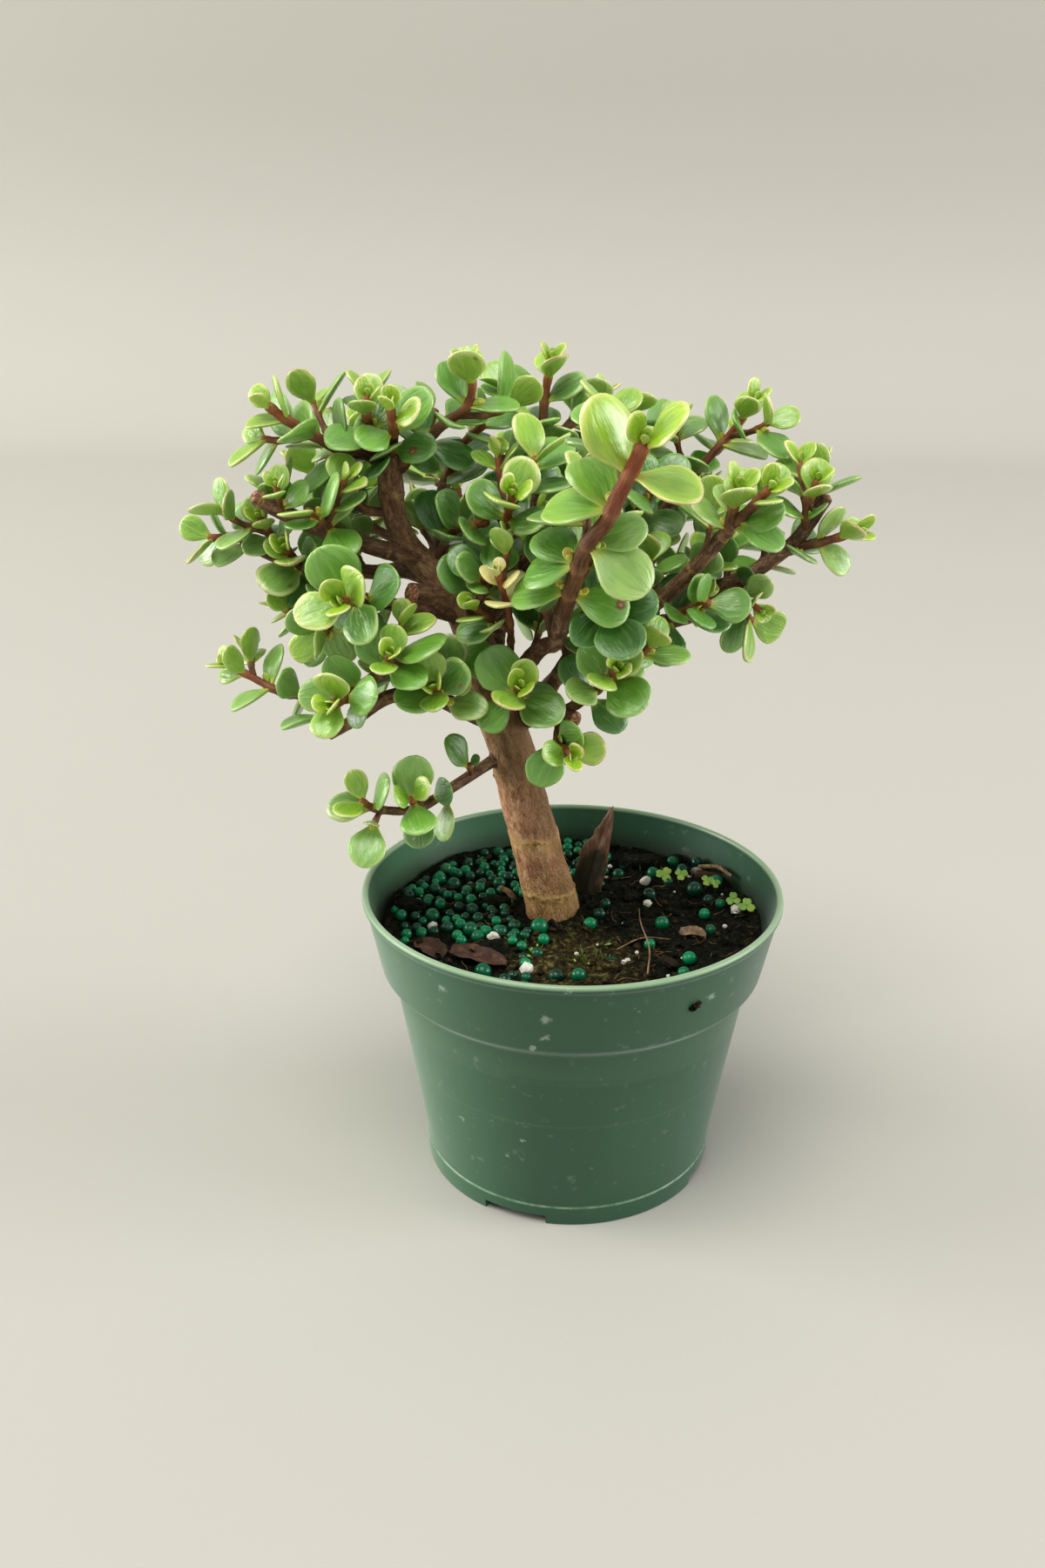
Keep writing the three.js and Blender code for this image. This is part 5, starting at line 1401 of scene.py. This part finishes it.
SOIL_RINGS = 70
SOIL_SEGMENTS = 220
SOIL_EDGE = RIM_RADIUS - LIP - (BAND_TOP + 1 - SOIL_LEVEL) * 0.303 - 0.9
FINE_SEED = 777
EXTRA_PRILLS = 190
# Single beads: a middle and a radius.
LONE_PRILLS = [
    (-10, -12, 2.9), (-8.5, -18, 2.0), (6, -8, 2.2), (9, -2.5, 2.1), (11, 3.5, 1.9), (29, -5.5, 2.4),
    (43, 2, 2.0), (44, -9.5, 2.0), (36, -29, 2.3), (34, -35, 2.0), (24.5, -18.5, 1.9), (2.5, -42.5, 2.3),
    (-7, -28.5, 2.3), (-26, -38.5, 2.8), (16, 33, 2.2), (38, 35, 2.3), (43.5, 41, 2.2), (41, 19, 2.8),
]
# Middle, three radii, tint and turn of each lump.
CLODS = [
    (25, 42, 8.5, 5.5, 2.6, 0.1, 0), (-52, 1, 5.0, 3.4, 2.2, 0.1, 0), (-24, 9, 4.6, 3.0, 2.0, 0.1, 0),
    (-31, 21, 6.0, 2.0, 1.3, 0.9, 0.4), (46.5, 30, 4.6, 1.9, 1.3, 1.0, -0.3),
    (36, 46, 3.6, 2.6, 1.6, 0.7, 1.0), (12, -34, 3.8, 2.4, 1.2, 0.6, 0.2),
    (30, -30, 3.4, 1.8, 1.1, 0.75, 2.2), (20, 14, 3.6, 2.2, 1.2, 0.2, 0.7),
    (34, 6, 4.0, 1.6, 1.1, 0.5, -0.8),
]
# Pale green flecks: a place and a size.
FLECKS = [
    (-12, -24.4, 1.2), (-10.3, -20.6, 0.8), (-12.6, -29.2, 1.0), (11.5, -18.6, 1.2), (1.4, -29.2, 0.7),
    (5.6, -31.6, 0.6), (-4.2, -38.6, 0.7),
]
CHIPS = 620
PERLITE_CRUMBS = 34
MOST_TRIES = 9000
GREY_PERLITE = (43, 35)
MOSS = [(7, -27), (24, 40), (36, 50)]
MOSS_BLADES = 26
CLOVERS = [(32, 27, 1.5), (36, 24, 1.2), (45, 22, 1.2), (48, 20, 0.9), (56, 6, 1.5), (53, 9, 1.3)]
# Points over the mix, and radii at foot and tip.
STALKS = [
    ([(23, -39, 1.5), (24, -25, 2.6), (22, -8, 2.6), (22, 4, 1.5)], 0.3, 0.2),
    ([(14, -24, 1.2), (22, -19, 2.8), (31, -17, 1.6)], 0.26, 0.16),
    ([(44, 38, 1), (50, 34, 3), (54, 27, 3)], 0.9, 0.6),
    ([(-19, 13, -1), (-21, 14, 1.5), (-24, 15, 2.6)], 1.3, 0.8),
]
FIBRES = 150


def soil_height(x, y):
    """Height of the smooth bed, as in the solid: a low mound round the trunk and soft swells."""
    mound = 1.6 * math.exp(-((x - TRUNK_FOOT[0]) ** 2 + (y - TRUNK_FOOT[1]) ** 2) / 300)
    swell = 1.1 * math.sin(0.11 * x + 0.7) * math.cos(0.13 * y - 0.4)
    return SOIL_LEVEL + mound + swell + 0.5 * math.sin(0.23 * x - 0.31 * y)


def crumbly(x, y):
    """Height of the fine surface of the mix: crumbs on the smooth bed."""
    coarse = noise.fractal(Vector((x * 0.16, y * 0.16, 3.1)), 1.0, 2.0, 3)
    crumb = noise.fractal(Vector((x * 0.55, y * 0.55, 8.7)), 1.0, 2.0, 3)
    return soil_height(x, y) + 0.9 * coarse + 0.75 * crumb - 0.3


def is_apart(x, y, radius, others, share=1.0, gap=0.0):
    """Whether a round thing stays clear of the others, or overlaps them by no more than its share."""
    return all(math.hypot(x - ox, y - oy) > share * (radius + around) + gap for ox, oy, around in others)


def is_free(x, y, radius):
    """Whether a bead would be clear of the trunk, the pot's wall and the dead leaves."""
    if math.hypot(x, y) >= BARE - radius:
        return False
    kept = [TRUNK_FOOT, SHARD_FOOT] + [(leaf[0], leaf[1], leaf[2] / 2 + 2) for leaf in FALLEN.values()]
    return is_apart(x, y, radius, kept)


def beads():
    """The beads that the soil's solid shows, then smaller ones between them."""
    draw = Draws(PRILL_SEED)
    placed = [bead for bead in PERLITE if is_free(*bead)]
    perlite = len(placed)
    while len(placed) < perlite + PRILLS:
        angle = 2 * math.pi * draw.next()
        distance = (BARE - 1.5) * math.sqrt(draw.next())
        x, y = distance * math.cos(angle), distance * math.sin(angle)
        radius = PRILL_RADIUS * (0.8 + 0.45 * draw.next())
        wanted = draw.next() < (1 if x < -12 else 0.3)
        if wanted and is_apart(x, y, radius, placed, 1.0, 0.5) and is_free(x, y, radius):
            placed.append((x, y, radius))
    return placed[:perlite], placed[perlite:]


def globe(sides, rings):
    """The points of a ball of radius 1, ring by ring, with its poles last."""
    points = []
    for k in range(1, rings):
        tilt = math.pi * k / rings
        for i in range(sides):
            turn = 2 * math.pi * i / sides
            points.append((math.sin(tilt) * math.cos(turn), math.sin(tilt) * math.sin(turn), -math.cos(tilt)))
    return np.array(points + [(0, 0, -1), (0, 0, 1)])


def turned(points, *turns):
    """The points after some turns, each an angle and an axis. The last one comes first."""
    whole = Matrix.Identity(3)
    for angle, axis in turns:
        whole = whole @ Matrix.Rotation(angle, 3, axis)
    return points @ np.array(whole).T


def somewhere(draw, reach):
    """A place on the mix, drawn evenly over a disc."""
    angle, distance = draw.between(0, 2 * math.pi), reach * math.sqrt(draw.next())
    return distance * math.cos(angle), distance * math.sin(angle)


def from_trunk(x, y):
    """How far a place on the mix is from the trunk's middle."""
    return math.hypot(x - TRUNK_FOOT[0], y - TRUNK_FOOT[1])


def ball(shape, centre, radii, kind, draw, sides=12, rings=8, rugged=0.0, age=0.0):
    """A round grain with its own turn and, if rugged, an uneven surface."""
    points = globe(sides, rings) * np.asarray(radii)
    if rugged:
        shift = Vector((draw.between(0, 90), draw.between(0, 90), 0))
        swell = [1 + rugged * noise.noise(Vector(p / max(radii)) * 1.8 + shift) for p in points]
        points = points * np.array(swell)[:, None]
    points = turned(points, (draw.between(0, 6.3), "Z"), (draw.between(0, 6.3), "X")) + centre
    shape.add(points, ring_faces(rings - 1, sides), kind, seed=draw.next(), age=age)


def chip(shape, centre, size, kind, draw):
    """An irregular flat piece of bark or peat with eight corners."""
    half = [size * draw.between(0.5, 1.3), size * draw.between(0.3, 0.7), size * draw.between(0.12, 0.35)]
    corners = np.array([(x, y, z) for x in (-1, 1) for y in (-1, 1) for z in (-1, 1)], float)
    corners *= np.array([[draw.between(0.55, 1.1) for _ in range(3)] for _ in range(8)]) * half
    corners = turned(corners, (draw.between(0, 6.3), "Z"), (draw.spread(0.7), "X"), (draw.spread(0.7), "Y"))
    faces = [(0, 1, 3, 2), (4, 6, 7, 5), (0, 4, 5, 1), (2, 3, 7, 6), (0, 2, 6, 4), (1, 5, 7, 3)]
    shape.add(corners + centre, faces, kind, seed=draw.next())


def clod(shape, centre, radii, tint, turn, draw):
    """A broken lump of bark or peat with flattish sides."""
    sides, rings = 14, 9
    points = globe(sides, rings)
    points /= (np.abs(points) ** 3.4).sum(axis=1)[:, None] ** (1 / 3.4)
    shift = Vector((draw.between(0, 90), draw.between(0, 90), 0))
    swell = []
    for p in points:
        coarse, fine = noise.noise(Vector(p) * 1.3 + shift), noise.noise(Vector(p) * 4 + shift)
        swell.append(1 + 0.35 * coarse + 0.12 * fine)
    points = points * np.array(swell)[:, None] * np.asarray(radii)
    points = turned(points, (turn, "Z"), (draw.spread(0.25), "X")) + centre
    shape.add(points, ring_faces(rings - 1, sides), 0, seed=tint)


def soil_bed(shape):
    """The crumbly top of the mix, with its side down to the pot's floor."""
    angles = circle(SOIL_SEGMENTS)
    points = []
    for radius in SOIL_EDGE * np.linspace(0, 1, SOIL_RINGS + 1)[1:]:
        for angle in angles:
            x, y = radius * math.cos(angle), radius * math.sin(angle)
            points.append((x, y, crumbly(x, y)))
    skirt = [
        (BODY_TOP_RADIUS + SHOULDER - WALL - 0.4, BAND_BOTTOM + 0.2),
        (BODY_TOP_RADIUS - WALL - 0.4, BODY_TOP + 0.2),
        (FOOT_RADIUS - 2.2, FLOOR_TOP + 0.3),
    ]
    for radius, height in skirt:
        points += [(radius * math.cos(a), radius * math.sin(a), height) for a in angles]
    points += [(0, 0, crumbly(0, 0)), (0, 0, FLOOR_TOP + 0.3)]
    faces = [face[::-1] for face in ring_faces(SOIL_RINGS + len(skirt), SOIL_SEGMENTS)]
    shape.add(points, faces, 0, seed=0.5)


def fine_soil(paints):
    """The mix with its perlite and beads: those of the solid, lone ones, then smaller ones between them."""
    shape = Shape("seed", "age")
    soil_bed(shape)
    draw = Draws(FINE_SEED)
    perlite, prills = beads()
    for x, y, radius in perlite:
        grey = 1.0 if (x, y) == GREY_PERLITE else 0.0
        sizes = (radius, radius * 0.85, radius * 0.8)
        ball(shape, (x, y, soil_height(x, y) + 0.2 * radius), sizes, 2, draw, 16, 12, 0.28, grey)
    for x, y, radius in prills:
        ball(shape, (x, y, soil_height(x, y) + 0.2 * radius), (radius, radius * 0.96, radius * 0.93), 1, draw)
    placed = perlite + prills
    for x, y, radius in LONE_PRILLS:
        if is_apart(x, y, radius, placed, 0.9):
            placed.append((x, y, radius))
            ball(shape, (x, y, crumbly(x, y) + 0.6 * radius), (radius, radius * 0.96, radius * 0.95), 1, draw)
    tries = 0
    while len(placed) < len(perlite) + len(prills) + EXTRA_PRILLS and tries < MOST_TRIES:
        tries += 1
        x, y = somewhere(draw, BARE + 0.6)
        radius = PRILL_RADIUS * draw.between(0.72, 1.12)
        wanted = 1.0 if x < -13 and y > -0.6 * x - 52 else 0.4 if y > 16 and x < 12 else 0.0
        if draw.next() < wanted and is_apart(x, y, radius, placed, 0.93) and is_free(x, y, radius):
            placed.append((x, y, radius))
            high = crumbly(x, y) + radius * draw.between(-0.1, 0.75)
            ball(shape, (x, y, high), (radius, radius * 0.95, radius * 0.92), 1, draw)
    for _ in range(PERLITE_CRUMBS):
        x, y = somewhere(draw, BARE)
        if is_free(x, y, 1):
            size = draw.between(0.35, 0.95)
            ball(shape, (x, y, crumbly(x, y) + 0.3), (size, size, size * 0.8), 2, draw, 8, 6, 0.5)
    add_piece("fine_soil", shape.mesh("fine_soil", paints), "potting_mix", "soil")


def strand(shape, points, thick, thin, kind, draw, sides=6):
    """A thin round thread through a few points."""
    line, reached = resampled(centre_line(points), 1.2)
    radii = thick + (thin - thick) * reached / reached[-1]
    ring_points, faces, _ = tube(line, radii, sides)
    shape.add(ring_points, faces, kind, seed=draw.next())


def disc(shape, centre, radius, turn, kind, draw):
    """A round leaflet with a notch at its outer end, beside a stalk's tip and facing up and forward."""
    sides = 14
    turns = circle(sides)
    reach = radius * (1 - 0.3 * np.exp(-((np.minimum(turns, 2 * np.pi - turns) / 0.35) ** 2)))
    rings = []
    for share, height in ((1.0, 0.12), (1.0, 0.26), (0.55, 0.14)):
        x, y = share * reach * np.cos(turns) + 1.05 * radius, share * reach * np.sin(turns)
        rings.append(np.stack([x, y, np.full(sides, height)], 1))
    points = np.concatenate([*rings, [[1.05 * radius, 0, -0.05], [1.05 * radius, 0, 0.06]]])
    points = turned(points, (0.6 + draw.spread(0.2), "X"), (turn, "Z")) + centre
    shape.add(points, ring_faces(3, sides), kind, seed=draw.next())


def add_fibres(shape, draw):
    """Thin bent roots that lie on the mix, inside the pot's wall."""
    for _ in range(FIBRES):
        x, y = somewhere(draw, BARE - 3)
        if from_trunk(x, y) < 12:
            continue
        turn, size = draw.between(0, 2 * math.pi), draw.between(2.0, 7.0)
        points = []
        for step in range(4):
            reach = size * (step / 3 - 0.5)
            px, py = x + reach * math.cos(turn), y + reach * math.sin(turn)
            inward = min(1.0, (BARE - 0.8) / math.hypot(px, py))
            px, py = px * inward, py * inward
            turn += draw.spread(0.35)
            points.append((px, py, crumbly(px, py) + draw.between(0.2, 1.2)))
        strand(shape, points, draw.between(0.1, 0.22), 0.08, 1, draw, 5)


def add_moss(shape, draw):
    """Tufts of short bent blades."""
    for cx, cy in MOSS:
        for _ in range(MOSS_BLADES):
            x, y = cx + draw.spread(5), cy + draw.spread(3.5)
            if math.hypot(x, y) >= BARE:
                continue
            z, height = crumbly(x, y), draw.between(1.2, 3.0)
            tip = (x + draw.spread(1.2), y + draw.spread(1.2), z + height)
            middle = ((x + tip[0]) / 2, (y + tip[1]) / 2, z + height * 0.6)
            strand(shape, [(x, y, z - 0.4), middle, tip], 0.28, 0.1, 2, draw, 5)


def add_seedlings(shape, draw):
    """Clover seedlings: three leaflets on a thin stalk."""
    for x, y, size in CLOVERS:
        z = crumbly(x, y)
        tip = np.array([x + draw.spread(1), y - 1.0, z + draw.between(3.0, 4.2)])
        strand(shape, [(x, y, z - 0.5), (x, y, z + 1.5), tip], 0.22, 0.16, 2, draw)
        lean = draw.between(0, 6.3)
        for part in range(3):
            disc(shape, tip, size, lean + 2.1 * part, 4, draw)


def litter(paints):
    """Chips, clods, fibres, moss, seedlings and dry stalks that lie on the mix."""
    shape = Shape("seed", "age")
    draw = Draws(FINE_SEED + 5)
    for number in range(CHIPS):
        x, y = somewhere(draw, BARE + 0.5)
        size = draw.between(0.5, 1.5) if number % 6 else draw.between(1.4, 2.8)
        if from_trunk(x, y) > 10:
            chip(shape, (x, y, crumbly(x, y) + 0.25 * size), size, 0, draw)
    for x, y, long, wide, high, tint, turn in CLODS:
        clod(shape, (x, y, crumbly(x, y) + 0.4 * high), (long, wide, high), tint, turn, draw)
    for x, y, size in FLECKS:
        chip(shape, (x, y, crumbly(x, y) + 0.8), size, 4, draw)
    add_fibres(shape, draw)
    add_moss(shape, draw)
    add_seedlings(shape, draw)
    for points, thick, thin in STALKS:
        strand(shape, [(x, y, SOIL_LEVEL + rise) for x, y, rise in points], thick, thin, 3, draw, 10)
    add_piece("litter", shape.mesh("litter", paints), "potting_mix")


def mix_material():
    """Near black potting mix, with brown peat in front of the trunk and pale flecks."""
    paint = Paint("potting_mix_dark", 0.92, 0.15)
    where, seed = paint.where(), paint.value("seed")
    crumbs = paint.noise(where, 520.0, 5.0, 0.68)
    lumps = paint.noise(where, 110.0, 3.0, 0.6)
    peat = paint.ramp(crumbs, (0.34, 22, 20, 11), (0.52, 70, 62, 34), (0.68, 142, 130, 80))
    away = paint.distance((1, -29, 85)) + (lumps - 0.5) * 0.03
    colour = paint.layers(
        paint.ramp(crumbs, (0.34, 8, 11, 9), (0.52, 20, 24, 18), (0.66, 42, 44, 32), (0.8, 106, 98, 68)),
        (away.ease(0.012, 0.026, 0.8, 0.05), peat),
        (lumps.ease(0.45, 0.7, 0.0, 0.3), (32, 34, 20)),
        (seed.ease(0.6, 0.98, 0.0, 0.6), (92, 68, 54)),
        (paint.cells(where, 900.0).ease(0.05, 0.14, 0.4, 0.0), (150, 136, 108)),
    )
    return paint.finish(colour, paint.bump(crumbs, 0.0012, 0.8))


def prill_material():
    """Green fertiliser beads with a soft shine, each in its own shade."""
    paint = Paint("prill_green", 0.25, 0.5)
    paint.shader.inputs["Subsurface Weight"].default_value = 0.15
    paint.shader.inputs["Subsurface Scale"].default_value = 0.001
    seed = paint.value("seed")
    mottle = paint.noise(paint.where(), 300.0, 2.0)
    colour = paint.layers(
        paint.blend(seed.ease(0.1, 1.0), (0, 58, 40), (0, 134, 86)),
        (mottle.ease(0.5, 0.75, 0.0, 0.25), (10, 136, 92)),
        (seed.ease(0.95, 0.98, 0.0, 0.4), (92, 104, 70)),
    )
    return paint.finish(colour, None, mottle.ease(0.3, 0.7, 0.24, 0.4))


def perlite_material():
    """White, porous grains."""
    paint = Paint("perlite_white", 0.85, 0.3)
    pores = paint.noise(paint.where(), 1300.0, 3.0, 0.7)
    colour = paint.ramp(pores, (0.3, 186, 178, 160), (0.5, 226, 222, 208), (0.7, 242, 240, 232))
    colour = paint.blend(paint.value("age") * 0.8, colour, (120, 116, 108))
    return paint.finish(colour, paint.bump(pores, 0.0006, 0.7))


# Each row: a name, roughness and specular, the grain of the specks, two tints and the specks' own tint,
# where the specks start and end and how strong they are, and the bump.
SPECKLED = [
    ("fibre_brown", (0.8, 0.2), (800, 800, 800), (70, 46, 30), (150, 116, 78), (52, 36, 26),
     (0.4, 0.7, 0.6), (0.0003, 0.5)),
    ("moss_green", (0.7, 0.3), (600, 600, 600), (64, 92, 32), (118, 138, 60), (88, 104, 44),
     (0.35, 0.65, 1.0), (0.0003, 0.5)),
    ("stalk_dry", (0.7, 0.3), (900, 120, 900), (112, 88, 62), (88, 62, 46), (150, 124, 92),
     (0.35, 0.65, 1.0), (0.0003, 0.5)),
    ("clover_green", (0.55, 0.35), (700, 700, 700), (126, 170, 84), (168, 192, 96), (104, 148, 66),
     (0.35, 0.65, 0.4), (0.0002, 0.4)),
]


def speckled_material(name, shine, grain, first, second, specks, reach, bump):
    """A colour between two tints, by the seed of each piece, with specks of a third."""
    paint = Paint(name, *shine)
    fine = paint.noise(paint.where(), grain, 3.0)
    start, end, most = reach
    share = fine.ease(start, end, 0.0, most)
    tint = paint.blend(paint.value("seed"), first, second)
    return paint.finish(paint.blend(share, tint, specks), paint.bump(fine, *bump))


# ---- dry leaves ----

DRY_SEED = 99


def add_sheet(shape, rows, columns, at, tint):
    """A thin closed leaf: at gives each point from its row, its shares along and across, and its side."""
    points, alongs, acrosses = [], [], []
    for layer in (1, -1):
        for i in range(rows):
            u = i / (rows - 1)
            for j in range(columns):
                v = 2 * j / (columns - 1) - 1
                points.append(at(i, u, v, layer))
                alongs.append(u)
                acrosses.append(v)
    faces = []
    whole = rows * columns
    for i in range(rows - 1):
        for j in range(columns - 1):
            a, b = i * columns + j, (i + 1) * columns + j
            faces.append((a, b, b + 1, a + 1))
            faces.append((whole + a, whole + a + 1, whole + b + 1, whole + b))
    edge = [(i, 0) for i in range(rows)] + [(rows - 1, j) for j in range(1, columns)]
    edge += [(i, columns - 1) for i in range(rows - 2, -1, -1)] + [(0, j) for j in range(columns - 2, 0, -1)]
    flat = [i * columns + j for i, j in edge]
    for a, b in zip(flat, flat[1:] + flat[:1]):
        faces.append((a, whole + a, whole + b, b))
    shape.add(points, faces, 0, along=np.array(alongs), across=np.array(acrosses), seed=tint)


def dry_leaf(name, middle, length, width, turn, tint, draw, paint):
    """A shrivelled leaf that lies on the mix, curled up at its sides and creased lengthwise."""
    angle = math.radians(turn)
    phase = draw.between(0, 6.3)
    bed = crumbly(*middle) + 1.0

    def at(row, u, v, layer):
        half = width / 2 * max(0.12, math.sin(math.pi * min(u * 0.92 + 0.06, 1)) ** 0.7)
        along = (u - 0.5) * length
        across = v * half * (1 + 0.1 * math.sin(9 * u + phase) + 0.05 * math.sin(23 * u + 2 * phase))
        fold = 2.2 * v * v * (0.6 + 0.4 * math.sin(5 * u + phase)) + 0.5 * math.sin(6 * u + 3 * v + phase)
        x = middle[0] + along * math.cos(angle) - across * math.sin(angle)
        y = middle[1] + along * math.sin(angle) + across * math.cos(angle)
        return x, y, bed + fold + 0.3 * (1 - v * v) * layer

    shape = Shape("along", "across", "seed")
    add_sheet(shape, 26, 15, at, tint)
    add_piece("fine_" + name, shape.mesh("fine_" + name, [paint]), "dry_leaf", name)


def upright_leaf(paint):
    """The big dead leaf that stands in the mix: folded lengthwise, pointed, with a torn left edge."""
    line, _ = resampled(centre_line([row[:3] for row in SHARD]), 0.7)

    def at(row, u, v, layer):
        centre = line[row]
        half = 0.5 * radius_at([width for *_, width in SHARD], u)
        torn = 0.5 * math.sin(13 * u) + 0.35 * math.sin(31 * u + 1) + 0.25 * math.sin(57 * u)
        reach = half + (torn * min(1, half / 3) if v < 0 else 0.2 * math.sin(17 * u)) * abs(v)
        fold = -1.6 * (1 - abs(v)) ** 1.3 + 0.3 * math.sin(8 * u + 3 * v)
        depth = 0.25 * v * half + fold + 0.32 * layer * (1 - 0.75 * v * v)
        return centre[0] + v * reach, centre[1] + depth, centre[2] + 0.5 * v

    shape = Shape("along", "across", "seed")
    add_sheet(shape, len(line), 17, at, 0.2)
    add_piece("fine_dead_leaf", shape.mesh("fine_dead_leaf", [paint]), "dry_leaf", "dead_leaf_upright")


def dry_leaf_material():
    """Brown and tan for the fallen leaves; dark green that turns rusty at its rim for the upright one."""
    paint = Paint("leaf_dry", 0.6, 0.35)
    along, across, seed = paint.value("along"), paint.value("across").maths("ABSOLUTE"), paint.value("seed")
    veins = paint.noise(paint.where(), (420, 420, 150), 4.0, 0.65)
    blotch = paint.noise(paint.where(), 130.0, 4.0, 0.6)
    edge = along.ease(0.25, 0.9, 0.0, 0.34) + across.ease(0.3, 1.0, 0.0, 0.14) + (blotch - 0.5) * 1.2
    rust = paint.ramp(veins, (0.3, 80, 58, 44), (0.5, 114, 84, 64), (0.72, 152, 122, 98))
    brown = paint.ramp(veins, (0.3, 46, 32, 24), (0.5, 76, 52, 40), (0.72, 108, 80, 60))
    tan = paint.ramp(veins, (0.3, 80, 62, 48), (0.5, 120, 96, 76), (0.72, 168, 148, 116))
    colour = paint.layers(
        paint.blend(veins, (40, 44, 30), (74, 66, 48)),
        (edge.ease(0.05, 0.35), rust),
        (seed.ease(0.2, 0.25), paint.blend(seed.ease(0.7, 0.8), brown, tan)),
    )
    return paint.finish(colour, paint.bump(veins, 0.0005, 0.8), veins.ease(0.3, 0.7, 0.45, 0.7))


def pot_scrap(paint):
    """A scrap of brown peat stuck to the front of the pot's band."""
    shape = Shape("seed", "age")
    draw = Draws(SCRAP_SEED)
    x, y, z = on_wall(*POT_SCRAP, 0.3)
    outward = np.array([x, y, 0]) / math.hypot(x, y)
    side = np.array([-outward[1], outward[0], 0])
    for _ in range(7):
        centre = np.array([x, y, z]) + side * draw.spread(1.3) + np.array([0, 0, draw.spread(1.0)])
        ball(shape, centre, (1.0, 0.7, 0.6), 0, draw, 10, 6, 0.7)
    add_piece("pot_scrap", shape.mesh("pot_scrap", [paint]), "potting_mix")


# ---- floor, light and camera ----

FLOOR_START = -2600
FLOOR_END = 1500
FLOOR_BEND = 500
WALL_TOP = 2600
WALL_REACH = 3000
CAMERA = (0, -403.55, 289.37)
LENS = 32
SENSOR = 36
# Place, aim, width in metres, watts and colour of each lamp.
LAMPS = [
    ("key", (-1.0, -1.7, 5.0), (0, 0, 0.1), 3.6, 170, (1.0, 0.98, 0.95)),
    ("window", (-3.4, 0.2, 1.0), (0, 0, 0.12), 2.0, 76, (1.0, 1.0, 0.98)),
    ("fill", (3.4, -0.2, 1.1), (0, 0, 0.12), 2.0, 68, (0.97, 0.98, 1.0)),
]
PITCH, YAW, ROLL = (math.radians(angle) for angle in (21.584, -2.107, 1.129))


def backdrop_material():
    """Pale matt floor and a slightly darker wall."""
    paint = Paint("floor_pale", 0.6, 0.25)
    floor = paint.blend(paint.noise(paint.where(), 3.0, 3.0), (188, 186, 177), (184, 182, 173))
    colour = paint.blend(paint.coordinate("Z").ease(-0.1, 0.4), floor, (170, 168, 159))
    return paint.finish(colour, paint.bump(paint.noise(paint.where(), 700.0), 0.0001, 0.2))


def backdrop():
    """A floor that curves up into a wall behind the pot."""
    shape = Shape()
    section = [(FLOOR_START, 0), (FLOOR_END, 0)]
    for angle in np.radians(range(6, 91, 6)):
        reach = FLOOR_END + FLOOR_BEND * math.sin(angle)
        section.append((reach, FLOOR_BEND - FLOOR_BEND * math.cos(angle)))
    section.append((FLOOR_END + FLOOR_BEND, WALL_TOP))
    points = [(x, y, z) for y, z in section for x in (-WALL_REACH, WALL_REACH)]
    faces = [(2 * i, 2 * i + 1, 2 * i + 3, 2 * i + 2) for i in range(len(section) - 1)]
    shape.add(points, faces)
    floor = in_scene("floor", shape.mesh("floor", [backdrop_material()]))
    floor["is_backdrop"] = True


def lamp(name, place, aim, size, watts, colour):
    """A round soft lamp, aimed at a point."""
    data = bpy.data.lights.new(name, "AREA")
    data.shape = "DISK"
    data.size = size
    data.energy = watts
    data.color = colour
    light = in_scene(name, data)
    light.location = place
    light.rotation_euler = (Vector(aim) - Vector(place)).to_track_quat("-Z", "Y").to_euler()


def studio():
    """Plain soft light: a pale world, a big lamp above and two weaker ones at the sides."""
    world = bpy.data.worlds.new("pale")
    world.use_nodes = True
    background = world.node_tree.nodes["Background"]
    background.inputs["Color"].default_value = (0.97, 0.98, 1.0, 1)
    background.inputs["Strength"].default_value = 0.5
    bpy.context.scene.world = world
    for row in LAMPS:
        lamp(*row)
    bpy.context.scene.view_settings.view_transform = "Standard"
    bpy.context.scene.view_settings.look = "Medium High Contrast"


def camera():
    """The camera stands in front, above the crown, and looks down at the pot."""
    forward = np.array([0, math.cos(PITCH), -math.sin(PITCH)])
    right = np.array([1.0, 0, 0])
    cy, sy, cr, sr = math.cos(YAW), math.sin(YAW), math.cos(ROLL), math.sin(ROLL)
    rolled = np.array([[cr, -sr, 0], [sr, cr, 0], [0, 0, 1]])
    swung = np.array([[cy, 0, -sy], [0, 1, 0], [sy, 0, cy]])
    axes = rolled @ swung @ np.stack([right, np.cross(forward, right), forward])
    data = bpy.data.cameras.new("camera")
    data.lens = LENS
    data.sensor_width = SENSOR
    view = in_scene("camera", data)
    pose = np.eye(4)
    pose[:3, 0], pose[:3, 1], pose[:3, 2] = axes[0], -axes[1], -axes[2]
    pose[:3, 3] = np.array(CAMERA) * 0.001
    view.matrix_world = Matrix(pose.tolist())
    bpy.context.scene.camera = view


camera()
studio()
backdrop()

mix = mix_material()
fine_pot(pot_material())
fine_soil([mix, prill_material(), perlite_material()])
litter([mix] + [speckled_material(*row) for row in SPECKLED])
pot_scrap(mix)
fine_wood(bark_material())
leafy_stems([leaf_material(), stem_material()])
dry = dry_leaf_material()
upright_leaf(dry)
dead = Draws(DRY_SEED)
for name, (x, y, length, width, turn, tint) in FALLEN.items():
    dry_leaf(name, (x, y), length, width, turn, tint, dead, dry)

both = [[list(corner) for corner in box] for box in (cad_box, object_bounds())]
